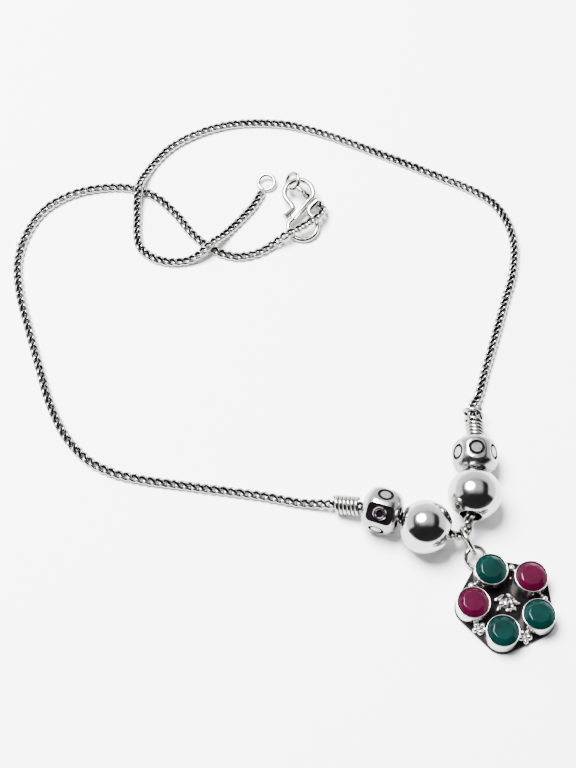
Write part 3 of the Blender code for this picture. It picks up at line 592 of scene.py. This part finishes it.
def gem(name, deep, light):
    """A dense coloured stone with a polished surface."""
    material, tree, shader = node_material(name)
    shader.inputs["Roughness"].default_value = 0.07
    shader.inputs["IOR"].default_value = 1.5
    shader.inputs["Specular IOR Level"].default_value = 0.16
    cloud = noise_between(tree, 330.0, 0.0, 1.0, 2.0)
    tree.links.new(blend(tree, cloud, deep, light), shader.inputs["Base Color"])
    return material


# Mesh building

def new_piece(name, mesh, node, slot, *materials):
    """A visible piece that rides on the body and stands for a node of the solids."""
    obj = bpy.data.objects.new(name, mesh)
    bpy.context.scene.collection.objects.link(obj)
    for material in materials:
        mesh.materials.append(material)
    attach(obj, "root")
    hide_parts(node)


def smooth_shading(mesh, angle=35):
    """Shade round faces smooth and keep the sharp edges."""
    mesh.shade_smooth()
    mesh.set_sharp_from_angle(angle=radians(angle))


def evaluated_mesh(obj):
    """The object's final surface as a mesh, and the object gone."""
    bpy.context.view_layer.update()
    source = obj.evaluated_get(bpy.context.evaluated_depsgraph_get())
    mesh = bpy.data.meshes.new_from_object(source)
    bpy.data.objects.remove(obj, do_unlink=True)
    return mesh


def helper(name, data, matrix=None):
    """An object that is only used to work out a mesh."""
    obj = bpy.data.objects.new(name, data)
    bpy.context.scene.collection.objects.link(obj)
    if matrix is not None:
        obj.matrix_world = matrix
    return obj


def wire_mesh(name, points, radius, around, shares=None):
    """The surface of a round wire through points in metres."""
    curve = bpy.data.curves.new(name, "CURVE")
    curve.dimensions = "3D"
    curve.bevel_depth = radius
    curve.bevel_resolution = around
    curve.use_fill_caps = True
    spline = curve.splines.new("POLY")
    spline.points.add(len(points) - 1)
    for index, (point, place) in enumerate(zip(spline.points, points)):
        point.co = (*place, 1.0)
        point.radius = shares[index] if shares else 1.0
    mesh = evaluated_mesh(helper(name, curve))
    smooth_shading(mesh, 50)
    return mesh


def angles(first, last, steps):
    """Evenly spaced angles in radians from first to last, both of them included."""
    return [first + (last - first) * i / steps for i in range(steps + 1)]


def turned_mesh(name, profile, steps):
    """A closed profile of (radius, height) points in mm, turned about Z, top to bottom outside."""
    mesh = bpy.data.meshes.new(name)
    count = len(profile)
    edges = [(i, (i + 1) % count) for i in range(count)]
    if profile[0][0] == 0.0 and profile[-1][0] == 0.0:
        edges.pop()
    mesh.from_pydata([(r * MM, 0.0, z * MM) for r, z in profile], edges, [])
    obj = helper(name, mesh)
    screw = obj.modifiers.new("turn", "SCREW")
    screw.steps = steps
    screw.render_steps = steps
    screw.use_merge_vertices = True
    screw.merge_threshold = 0.000001
    result = evaluated_mesh(obj)
    smooth_shading(result)
    return result


def torus_mesh(name, outer_d, wire):
    """A round ring of wire in the XY plane."""
    mid = (outer_d - wire) / 2
    profile = [(mid + wire / 2 * cos(t), wire / 2 * sin(t))
               for t in angles(pi / 2, -pi * 3 / 2, RING_ACROSS)[:-1]]
    return turned_mesh(name, profile, RING_AROUND)


def plate_mesh(name, outline, low, high, edge=0.0):
    """A flat outline in mm, extruded between two heights, with round edges if given."""
    curve = bpy.data.curves.new(name, "CURVE")
    curve.dimensions = "2D"
    curve.fill_mode = "BOTH"
    curve.extrude = (high - low - 2 * edge) / 2 * MM
    curve.bevel_depth = edge * MM
    curve.offset = -edge * MM
    curve.bevel_resolution = 3
    spline = curve.splines.new("POLY")
    spline.points.add(len(outline) - 1)
    for point, (x, y) in zip(spline.points, outline):
        point.co = (x * MM, y * MM, 0.0, 1.0)
    spline.use_cyclic_u = True
    mesh = evaluated_mesh(helper(name, curve))
    mesh.transform(Matrix.Translation((0, 0, (high + low) / 2 * MM)))
    weld = bmesh.new()
    weld.from_mesh(mesh)
    bmesh.ops.remove_doubles(weld, verts=weld.verts, dist=0.001 * MM)
    bmesh.ops.recalc_face_normals(weld, faces=weld.faces)
    weld.to_mesh(mesh)
    weld.free()
    smooth_shading(mesh, 40)
    return mesh


def rounded_rectangle(length, width, corner):
    """Outline of a rectangle with round corners, in mm."""
    return [((length / 2 - corner) * sx + corner * cos(t), (width / 2 - corner) * sy + corner * sin(t))
            for sx, sy, start in ((1, 1, 0), (-1, 1, 90), (-1, -1, 180), (1, -1, 270))
            for t in angles(radians(start), radians(start + 90), CORNER_STEPS)]


def gathered(name, parts):
    """One mesh of several: each part is a mesh, a placement and its material's index."""
    whole = bmesh.new()
    for mesh, matrix, material in parts:
        count = len(whole.faces)
        copy = mesh.copy()
        copy.transform(matrix)
        whole.from_mesh(copy)
        bpy.data.meshes.remove(copy)
        whole.faces.ensure_lookup_table()
        for face in whole.faces[count:]:
            face.material_index = material
    result = bpy.data.meshes.new(name)
    whole.to_mesh(result)
    whole.free()
    return result


# Pieces

def link_template():
    """One curb link's points, faces and polish: a twisted oval of round wire."""
    theta = np.linspace(0, 2 * pi, LINK_AROUND, endpoint=False)
    middle = np.stack([LINK_A * np.cos(theta), LINK_B * np.sin(theta), LINK_H * np.sin(2 * theta)], axis=1)
    tangent = np.stack([-LINK_A * np.sin(theta), LINK_B * np.cos(theta), 2 * LINK_H * np.cos(2 * theta)],
                       axis=1)
    tangent /= np.linalg.norm(tangent, axis=1)[:, None]
    out = middle * (1.0, 1.0, 0.0)
    out -= tangent * np.sum(out * tangent, axis=1)[:, None]
    out /= np.linalg.norm(out, axis=1)[:, None]
    side = np.cross(tangent, out)
    phi = np.linspace(0, 2 * pi, LINK_SECTION, endpoint=False)
    normal = (out[:, None, :] * np.cos(phi)[None, :, None] + side[:, None, :] * np.sin(phi)[None, :, None])
    points = middle[:, None, :] + normal * LINK_WIRE / 2
    outward = np.cos(phi)[None, :] * np.ones((LINK_AROUND, 1))
    level = np.abs(normal[:, :, 2])
    belly = np.abs(np.sin(theta))[:, None]
    polish = POLISH_LEAST + POLISH_OUTWARD * outward + POLISH_LEVEL * level + POLISH_BELLY * belly
    index = np.arange(LINK_AROUND * LINK_SECTION).reshape(LINK_AROUND, LINK_SECTION)
    quads = np.stack([index, np.roll(index, -1, axis=1), np.roll(np.roll(index, -1, axis=1), -1, axis=0),
                      np.roll(index, -1, axis=0)], axis=2).reshape(-1, 4)
    return points.reshape(-1, 3) * MM, quads, polish.reshape(-1)


def link_places(curve, pitch):
    """Placements along a curve, a pitch apart and as near to it as whole links allow."""
    lengths = [0.0]
    for a, b in zip(curve, curve[1:]):
        lengths.append(lengths[-1] + (b - a).length)
    count = int((lengths[-1] - GAP * MM) / (pitch * MM))
    start = (lengths[-1] - count * pitch * MM) / 2
    places = []
    step = 0
    for number in range(count + 1):
        want = start + number * pitch * MM
        while step < len(lengths) - 2 and lengths[step + 1] < want:
            step += 1
        share = (want - lengths[step]) / max(lengths[step + 1] - lengths[step], 1e-9)
        point = curve[step].lerp(curve[step + 1], min(max(share, 0.0), 1.0))
        ahead = curve[min(step + LINK_REACH, len(curve) - 1)] - curve[max(step + 1 - LINK_REACH, 0)]
        places.append((point, ahead.normalized(), want))
    return places


def make_links(side, curve):
    """The half chain as interlocked curb links."""
    shape, quads, polish = link_template()
    points = []
    faces = []
    shares = []
    for number, (place, ahead, reach) in enumerate(link_places(curve, PITCH[side])):
        across = UP.cross(ahead).normalized()
        rise = ahead.cross(across)
        roll = radians(ROLL_MOST) * sin(reach / MM * ROLL_RATE + ROLL_START[side])
        across, rise = across * cos(roll) + rise * sin(roll), rise * cos(roll) - across * sin(roll)
        turn = np.array([ahead, across, rise])
        drop = (CHAIN_D / 2 - LINK_H - LINK_WIRE / 2) * MM
        centre = np.array(place) - np.array(UP) * drop
        points.append(shape @ turn + centre)
        faces.append(quads + number * len(shape))
        shares.append(polish)
    mesh = bpy.data.meshes.new("links_" + side)
    mesh.from_pydata(np.concatenate(points).tolist(), [], np.concatenate(faces).tolist())
    layer = mesh.attributes.new("polish", "FLOAT", "POINT")
    layer.data.foreach_set("value", np.concatenate(shares).astype(np.float32))
    mesh.shade_smooth()
    new_piece("links_" + side, mesh, "chain_" + side, "dark_silver", WORN)


def make_ball(side):
    """A polished ball with a rolled lip at each mouth of its bore."""
    half = ball_half()
    lean = asin(BALL_LAND_D / BALL_D)
    outer = [(BALL_D / 2 * sin(t), BALL_D / 2 * cos(t))
             for t in angles(lean, pi - lean, BALL_STEPS)]
    lip = (BALL_LAND_D - BORE_D) / 4
    top = [(BORE_D / 2 + lip - lip * cos(t), half - lip + lip * sin(t))
           for t in angles(0.0, pi / 2, LIP_STEPS)]
    profile = top + outer + [(r, -z) for r, z in reversed(top)]
    mesh = turned_mesh("polished_ball_" + side, profile, BALL_AROUND)
    place = side_places(side)["ball"]
    mesh.transform(frame_at(table_point(*place), heading(SIDES[side]["ball"])))
    new_piece("polished_ball_" + side, mesh, "ball_" + side, "silver", BALL_SILVER)


def joined(target, tools):
    """The target after a boolean with each tool, with the tools' own materials on the cuts."""
    for tool, operation in tools:
        modifier = target.modifiers.new(operation.lower(), "BOOLEAN")
        modifier.operation = operation
        modifier.object = tool
        modifier.solver = "EXACT"
        modifier.use_self = True
        modifier.material_mode = "TRANSFER"
    result = evaluated_mesh(target)
    for tool, _ in tools:
        bpy.data.objects.remove(tool, do_unlink=True)
    return result


def painted(mesh, material):
    """The mesh with one material."""
    mesh.materials.clear()
    mesh.materials.append(material)
    return mesh


def ring_band(name, middle_d, low, high):
    """A band between two heights, in mm, with a round top."""
    inner = (middle_d - MARK_W) / 2
    outer = (middle_d + MARK_W) / 2
    bend = MARK_W / 4
    return turned_mesh(name, [(inner, high - bend), (inner + bend, high), (outer - bend, high),
                              (outer, high - bend), (outer, low), (inner, low)], BAND_AROUND)


def barrel_profile(half_l, radius, corner):
    """Outer side of a barrel with round ends, top to bottom, in mm."""
    top = [(radius - corner + corner * sin(t), half_l - corner + corner * cos(t))
           for t in angles(0.0, pi / 2, END_STEPS)]
    return top + [(r, -z) for r, z in reversed(top)]


def make_bead(side):
    """A six-sided bead: a dark sunk panel with a raised ring, and engraved rings."""
    place = side_places(side)["bead"]
    matrix = frame_at(table_point(*place), heading(SIDES[side]["bead"]))
    profile = [(BORE_D / 2, BEAD_L / 2)] + barrel_profile(BEAD_L / 2, BEAD_D / 2, BEAD_ROUND)
    profile += [(BORE_D / 2, -BEAD_L / 2)]
    bead = helper("bead", painted(turned_mesh("bead", profile, BEAD_AROUND), BEAD_SILVER))
    prism = bmesh.new()
    corner = BEAD_FLATS / 2 / cos(pi / BEAD_SIDES)
    bmesh.ops.create_cone(prism, cap_ends=True, segments=BEAD_SIDES, radius1=corner * MM,
                          radius2=corner * MM, depth=(BEAD_L + 2 * TOOL_PAST) * MM)
    flats = bpy.data.meshes.new("flats")
    prism.to_mesh(flats)
    prism.free()
    first = radians(SIDES[side]["roll"])
    turn = Matrix.Rotation(first - pi / BEAD_SIDES - pi / 2, 4, "Z")
    tools = [(helper("flats", painted(flats, BEAD_SILVER), turn), "INTERSECT")]
    outward = Matrix.Rotation(pi / 2, 4, "Y") @ Matrix.Rotation(pi / 2, 4, "Z")
    face = BEAD_FLATS / 2
    floor = face - PANEL_DEPTH
    for index in range(BEAD_SIDES):
        angle = first + 2 * pi / BEAD_SIDES * index
        out = Matrix.Rotation(angle, 4, "Z") @ outward
        if index != SIDES[side]["panel"]:
            groove = painted(ring_band("groove", MARK_D, face - MARK_DEPTH, face + MARK_DEPTH), PANEL_BLACK)
            tools.append((helper("groove", groove, out), "DIFFERENCE"))
        else:
            outline = rounded_rectangle(PANEL_W, PANEL_L, PANEL_ROUND)
            panel = painted(plate_mesh("panel", outline, floor, face + PANEL_DEPTH), PANEL_BLACK)
            tools.append((helper("panel", panel, out), "DIFFERENCE"))
            raised = painted(ring_band("raised", RAISED_D, floor - MARK_DEPTH, face), RIM_SILVER)
            tools.append((helper("raised", raised, out), "UNION"))
    mesh = joined(bead, tools)
    smooth_shading(mesh, 30)
    mesh.transform(matrix)
    new_piece("carved_bead_" + side, mesh, "facet_bead_" + side, "silver")


def make_coil(side):
    """Wire wound round the chain, with its outer turns loose on one side."""
    spec = SIDES[side]
    places = side_places(side)
    start = table_point(*places["coil_in"])
    axis = (table_point(*places["coil_out"]) - start).normalized()
    across = axis.cross(UP).normalized()
    rise = across.cross(axis)
    tight = spec["turns"]
    total = tight + spec["loose"]
    count = round(total * COIL_STEPS)
    points = []
    for step in range(count + 1):
        turn = total * step / count
        loose = max(0.0, turn - tight)
        swell = min(1.0, loose)
        radius = ((COIL_D - COIL_WIRE) * (1 - swell) + (LOOSE_D - COIL_WIRE) * swell) / 2
        reach = min(turn, tight) * COIL_PITCH + loose * LOOSE_PITCH
        angle = 2 * pi * turn
        reach += COIL_SLANT[side] * cos(angle)
        offset = across * cos(angle) * radius + rise * sin(angle) * radius
        points.append(start + (axis * reach + offset) * MM)
    mesh = wire_mesh("wound_wire_" + side, points, COIL_WIRE / 2 * MM, 6)
    layer = mesh.attributes.new("polish", "FLOAT", "POINT")
    middle = (COIL_D - COIL_WIRE) / 2 * MM
    for vert in mesh.vertices:
        arm = vert.co - start
        out = (arm - axis * arm.dot(axis)).length
        outward = (out - middle) / (COIL_WIRE / 2 * MM)
        layer.data[vert.index].value = COIL_POLISH + COIL_POLISH_RISE * outward
    new_piece("wound_wire_" + side, mesh, "coil_" + side, "silver", WORN)


def make_jump_ring():
    """The upright ring that joins the pendant to the chain."""
    face, _, _ = jump_axes()
    mesh = torus_mesh("round_jump_ring", JUMP_D, JUMP_WIRE)
    mesh.transform(frame_at(table_point(*jump_centre()), face))
    new_piece("round_jump_ring", mesh, "jump_ring", "silver", WIRE_SILVER)


def setting_outline():
    """The plate's outline in mm: round corners about the stones, straight between."""
    corner = BEZEL_D / 2 + PLATE_LIP
    outline = []
    for index in range(STONES):
        middle = PENDANT_TURN + 360.0 / STONES * index
        centre = heading(middle) * STONE_CIRCLE_R
        for step in range(OUTLINE_STEPS + 1):
            turn = heading(middle - 180.0 / STONES + 360.0 / STONES * step / OUTLINE_STEPS)
            outline.append(((centre + turn * corner).x, (centre + turn * corner).y))
    return outline


def bezel_cup():
    """A cup in mm that holds a stone, its rim thin and rounded over the girdle."""
    radius = BEZEL_D / 2
    inner = radius - BEZEL_WALL
    girdle = BEZEL_TOP - GIRDLE_BELOW
    bend = BEZEL_WALL / 2
    rim = [(inner + bend - bend * cos(t), BEZEL_TOP - bend + bend * sin(t))
           for t in angles(0.0, pi, RIM_STEPS)]
    return turned_mesh("bezel", [(0, girdle - PAVILION_H), (inner, girdle - SEAT_BELOW)] + rim
                       + [(radius, PLATE_T / 2), (0, PLATE_T / 2)], BEZEL_AROUND)


def leaf_mesh():
    """A pointed leaf of unit length along X, domed on top."""
    leaf = bmesh.new()
    bmesh.ops.create_uvsphere(leaf, u_segments=20, v_segments=12, radius=0.5)
    for vert in leaf.verts:
        vert.co.y *= (1 - (2 * abs(vert.co.x)) ** 2) * 0.5 + 0.5
    mesh = bpy.data.meshes.new("leaf")
    leaf.to_mesh(mesh)
    leaf.free()
    mesh.shade_smooth()
    return mesh


def sphere_mesh(diameter):
    """A small soldered ball."""
    grain = bmesh.new()
    bmesh.ops.create_uvsphere(grain, u_segments=20, v_segments=12, radius=diameter / 2 * MM)
    mesh = bpy.data.meshes.new("grain")
    grain.to_mesh(mesh)
    grain.free()
    mesh.shade_smooth()
    return mesh


def make_setting():
    """The pendant without its stones: dark plate, bright bezels, grains, flower and bail."""
    bail, pendant, lean = bail_place()
    origin = Matrix.Translation(table_point(*pendant))
    parts = [(plate_mesh("plate", setting_outline(), 0.0, PLATE_T, PLATE_EDGE), origin, 0)]
    cup = bezel_cup()
    for index in range(STONES):
        spot = Matrix.Translation(heading(stone_angle(index)) * STONE_CIRCLE_R * MM)
        parts.append((cup, origin @ spot, 1))
    for index in range(STONES):
        middle = stone_angle(index) - 180.0 / STONES
        centre = heading(middle) * (STONE_CIRCLE_R + GRAIN_OUT)
        for x, y, size in GRAIN_CLUSTER if index in CLUSTER_GAPS else SINGLE_GRAINS:
            spot = centre + heading(middle) * y + heading(middle - 90) * x
            spot.z = PLATE_T + size * GRAIN_LIFT
            parts.append((sphere_mesh(size), origin @ Matrix.Translation(spot * MM), 1))
    leaf = leaf_mesh()
    for x, y, turn, length, width, height in FLOWER:
        aim = Matrix.Rotation(radians(turn), 4, "Z") @ Matrix.Rotation(radians(LEAF_LEAN), 4, "Y")
        stretch = Matrix.Diagonal((length * MM, width * MM, height * MM, 1.0))
        spot = Matrix.Translation(Vector((x, y, PLATE_T + height * LEAF_LIFT)) * MM)
        parts.append((leaf, origin @ spot @ aim @ stretch, 1))
    face = heading(BAIL_TURN) * -sin(lean) + UP * cos(lean)
    matrix = frame_at(table_point(*bail), face, heading(BAIL_TURN))
    parts.append((torus_mesh("bail", BAIL_D, BAIL_WIRE), matrix, 2))
    mesh = gathered("dressed_setting", parts)
    smooth_shading(mesh)
    new_piece("dressed_setting", mesh, "pendant_setting", "setting_silver", PLATE_BLACK, RIM_SILVER,
              WIRE_SILVER)


def stone_mesh(name):
    """A round cut stone: table, crown and pavilion facets, with fine soft edges."""
    radius = BEZEL_D / 2 - BEZEL_WALL - STONE_GAP / 3
    girdle = BEZEL_TOP - GIRDLE_BELOW
    rings = ((TABLE_SHARE * radius, girdle + CROWN_H, STONE_SIDES, 0.5),
             (CROWN_SHARE * radius, girdle + CROWN_H * CROWN_RISE, STONE_SIDES, 0.0),
             (radius, girdle + GIRDLE_T, 2 * STONE_SIDES, 0.0),
             (radius, girdle, 2 * STONE_SIDES, 0.0),
             (PAVILION_SHARE * radius, girdle - PAVILION_H * PAVILION_SINK, STONE_SIDES, 0.5))
    cut = bmesh.new()
    for ring_r, height, sides, shift in rings:
        for i in range(sides):
            turn = 2 * pi * (i + shift) / sides
            cut.verts.new((ring_r * cos(turn) * MM, ring_r * sin(turn) * MM, height * MM))
    cut.verts.new((0, 0, (girdle - PAVILION_H + STONE_GAP) * MM))
    bmesh.ops.convex_hull(cut, input=cut.verts)
    bmesh.ops.dissolve_limit(cut, angle_limit=radians(0.5), verts=cut.verts, edges=cut.edges)
    bmesh.ops.bevel(cut, geom=cut.edges[:], offset=STONE_EDGE * MM, segments=3, profile=0.6, affect="EDGES")
    mesh = bpy.data.meshes.new(name)
    cut.to_mesh(mesh)
    cut.free()
    smooth_shading(mesh, 14)
    return mesh


def make_stones():
    """Five stones, three green and two red, in the bezels."""
    _, pendant, _ = bail_place()
    kinds = ("green_top", "red_right", "green_right", "green_bottom", "red_left")
    for index, kind in enumerate(kinds):
        spot = pendant + heading(stone_angle(index)) * STONE_CIRCLE_R
        mesh = stone_mesh("gem_" + kind)
        turn = Matrix.Rotation(radians(STONE_TURN * index), 4, "Z")
        mesh.transform(Matrix.Translation(table_point(*spot)) @ turn)
        colour = kind.split("_")[0]
        new_piece("gem_" + kind, mesh, "stone_" + kind, colour + "_stone", GEMS[colour])


def make_end_ring(side):
    """A ring at a chain end with the soldered cap that takes the last link."""
    centre, face, far, near = end_places()[side]
    cap = turned_mesh("cap", [(0, 0), (CAP_NECK_D / 2, 0), (CAP_D / 2, -CAP_L * CAP_NECK),
                              (CAP_D / 2, -CAP_L), (0, -CAP_L)], CAP_AROUND)
    ring = torus_mesh("end_ring", END_RING_D, END_RING_WIRE)
    parts = [(ring, frame_at(centre, face, Vector((0, 1, 0))), 0),
             (cap, frame_at(far, far - near), 1)]
    mesh = gathered("round_end_ring_" + side, parts)
    smooth_shading(mesh)
    new_piece("round_end_ring_" + side, mesh, "end_ring_" + side, "silver", WIRE_SILVER, CAP_SILVER)


def hook_half():
    """Half of the S from its middle to a tip, in mm in the hook's own plane."""
    reach = BAR_L / 2
    half = [Vector((0, 0, 0)), Vector((reach * cos(radians(BAR_TURN)), reach * sin(radians(BAR_TURN)), 0))]
    first, last = HOOK_ARCH_BEND
    for turn in angles(radians(first), radians(last), HOOK_ARCH_STEPS):
        half.append(Vector((HOOK_ARCH_X + HOOK_ARCH_R * cos(turn),
                            HOOK_ARCH_Y + HOOK_ARCH_R * sin(turn), 0)))
    for x, y, rise in HOOK_TIP:
        half.append(Vector((x * HOOK_ARCH_R, y * HOOK_ARCH_R, rise * HOOK_TIP_RISE)))
    return half


def make_hook():
    """The S-hook: bent wire with flared tips and a flattened straight middle."""
    half = hook_half()
    whole = [Vector((-p.x, -p.y, p.z)) for p in half[:0:-1]] + half
    path = smooth_curve([p * MM for p in whole], 8)
    shares = [1.0] * len(path)
    for i in range(HOOK_FLARE_POINTS):
        share = 1 + (HOOK_TIP_FLARE - 1) * (HOOK_FLARE_POINTS - i) / HOOK_FLARE_POINTS
        shares[i] = shares[-1 - i] = share
    wire = wire_mesh("hook_wire", path, HOOK_WIRE / 2 * MM, 7, shares=shares)
    outline = rounded_rectangle(BAR_L, BAR_W, BAR_ROUND)
    bar = plate_mesh("bar", outline, -BAR_T / 2, BAR_T / 2, BAR_EDGE)
    matrix = hook_matrix()
    parts = [(wire, matrix, 0), (bar, matrix @ Matrix.Rotation(radians(BAR_TURN), 4, "Z"), 0)]
    mesh = gathered("bent_hook", parts)
    smooth_shading(mesh)
    new_piece("bent_hook", mesh, "s_hook", "silver", WIRE_SILVER)


# Studio

def make_camera():
    """The photograph's view: from the front and well above, with a longer lens."""
    data = bpy.data.cameras.new("camera")
    data.lens = CAMERA_LENS
    data.sensor_width = SENSOR
    data.clip_start = 0.01
    camera = bpy.data.objects.new("camera", data)
    bpy.context.scene.collection.objects.link(camera)
    target = Vector((*LOOK_AT, 0.0)) * MM
    tilt = radians(CAMERA_ELEVATION)
    camera.location = target + Vector((0.0, -cos(tilt), sin(tilt))) * CAMERA_DISTANCE
    camera.rotation_euler = (target - camera.location).to_track_quat("-Z", "Y").to_euler()
    bpy.context.scene.camera = camera


def make_floor():
    """A plain white table."""
    mesh = bpy.data.meshes.new("table")
    corners = [(x * FLOOR_HALF, y * FLOOR_HALF, 0.0) for x, y in ((-1, -1), (1, -1), (1, 1), (-1, 1))]
    mesh.from_pydata(corners, [], [(0, 1, 2, 3)])
    floor = bpy.data.objects.new("table", mesh)
    bpy.context.scene.collection.objects.link(floor)
    material, tree, shader = node_material("table")
    shader.inputs["Roughness"].default_value = 0.7
    shader.inputs["Specular IOR Level"].default_value = 0.1
    tone = noise_between(tree, 9.0, 0.0, 1.0)
    tree.links.new(blend(tree, tone, *FLOOR_TONES), shader.inputs["Base Color"])
    mesh.materials.append(material)


def inside(tree, value, low, high, soft):
    """1 where a value lies between two bounds, with soft edges."""
    shares = []
    for bound, first, last in ((low, 0.0, 1.0), (high, 1.0, 0.0)):
        edge = tree.nodes.new("ShaderNodeMapRange")
        edge.interpolation_type = "SMOOTHSTEP"
        edge.inputs["From Min"].default_value = bound - soft
        edge.inputs["From Max"].default_value = bound + soft
        edge.inputs["To Min"].default_value = first
        edge.inputs["To Max"].default_value = last
        tree.links.new(value, edge.inputs["Value"])
        shares.append(edge.outputs["Result"])
    return arithmetic(tree, "MULTIPLY", *shares)


def arithmetic(tree, operation, *values):
    """The result of a Math node on numbers or sockets."""
    node = tree.nodes.new("ShaderNodeMath")
    node.operation = operation
    for socket, value in zip(node.inputs, values):
        if isinstance(value, float):
            socket.default_value = value
        else:
            tree.links.new(value, socket)
    return node.outputs["Value"]


def make_tent():
    """The room: a white tent, brightest low down, dark in front and round a pale window overhead."""
    world = bpy.data.worlds.new("tent")
    bpy.context.scene.world = world
    world.use_nodes = True
    tree = world.node_tree
    back = tree.nodes["Background"]
    place = tree.nodes.new("ShaderNodeTexCoord")
    axes = tree.nodes.new("ShaderNodeSeparateXYZ")
    tree.links.new(place.outputs["Generated"], axes.inputs["Vector"])
    height = arithmetic(tree, "MAXIMUM", axes.outputs["Z"], HORIZON)
    right = arithmetic(tree, "DIVIDE", axes.outputs["X"], height)
    away = arithmetic(tree, "DIVIDE", axes.outputs["Y"], height)
    strength = inside(tree, axes.outputs["Y"], *TENT_AWAY)
    wall = tree.nodes.new("ShaderNodeMapRange")
    wall.inputs["From Max"].default_value = WALL_TOP
    wall.inputs["To Min"].default_value = WALL_BRIGHT
    wall.inputs["To Max"].default_value = TENT_BRIGHT
    tree.links.new(axes.outputs["Z"], wall.inputs["Value"])
    strength = arithmetic(tree, "MULTIPLY", strength, wall.outputs["Result"])
    dark = arithmetic(tree, "MULTIPLY", inside(tree, right, *DARK_RIGHT), inside(tree, away, *DARK_AWAY))
    clear = arithmetic(tree, "SUBTRACT", 1.0, dark)
    strength = arithmetic(tree, "MULTIPLY", strength, clear)
    window = arithmetic(tree, "MULTIPLY", inside(tree, right, *WINDOW_RIGHT),
                        inside(tree, away, *WINDOW_AWAY))
    window = arithmetic(tree, "MULTIPLY", window, WINDOW_BRIGHT)
    strength = arithmetic(tree, "ADD", strength, window)
    strength = arithmetic(tree, "ADD", strength, ROOM_DARK)
    tree.links.new(strength, back.inputs["Strength"])
    back.inputs["Color"].default_value = (*TENT_TONE, 1.0)


def make_light():
    """The main lamp: round and soft, overhead, to the left and behind."""
    data = bpy.data.lights.new("lamp", "AREA")
    data.shape = "DISK"
    data.size = LAMP_D
    data.energy = LAMP_WATTS
    lamp = bpy.data.objects.new("lamp", data)
    bpy.context.scene.collection.objects.link(lamp)
    lamp.location = LAMP_PLACE
    lamp.rotation_euler = (-lamp.location).to_track_quat("-Z", "Y").to_euler()


make_camera()
make_floor()
make_tent()
make_light()

WORN = worn_silver("worn_silver")
BALL_SILVER = bright_silver("ball_silver", 0.10, 0.15, (0.46, 0.455, 0.45), (0.39, 0.385, 0.38))
BEAD_SILVER = bright_silver("bead_silver", 0.14, 0.26, (0.38, 0.375, 0.375), (0.22, 0.215, 0.215))
WIRE_SILVER = bright_silver("wire_silver", 0.10, 0.18, (0.42, 0.415, 0.40), (0.33, 0.325, 0.31))
RIM_SILVER = bright_silver("rim_silver", 0.14, 0.24, (0.58, 0.57, 0.56), (0.40, 0.39, 0.38))
CAP_SILVER = bright_silver("cap_silver", 0.2, 0.34, (0.55, 0.54, 0.53), (0.25, 0.24, 0.24))
PANEL_BLACK = black_silver("panel_black", (0.0016, 0.0012, 0.0017))
PLATE_BLACK = black_silver("plate_black", (0.0012, 0.0010, 0.0013))
GEMS = {
    "green": gem("green_gem", (0.0, 0.0065, 0.0055), (0.0, 0.013, 0.0115)),
    "red": gem("red_gem", (0.018, 0.0002, 0.005), (0.032, 0.0008, 0.0105)),
}

for part_side, part_curve in chain_curves().items():
    make_links(part_side, trimmed(part_curve, GAP / 2 * MM))
for part_side in SIDES:
    make_ball(part_side)
    make_bead(part_side)
    make_coil(part_side)
    make_end_ring(part_side)
make_jump_ring()
make_setting()
make_stones()
make_hook()
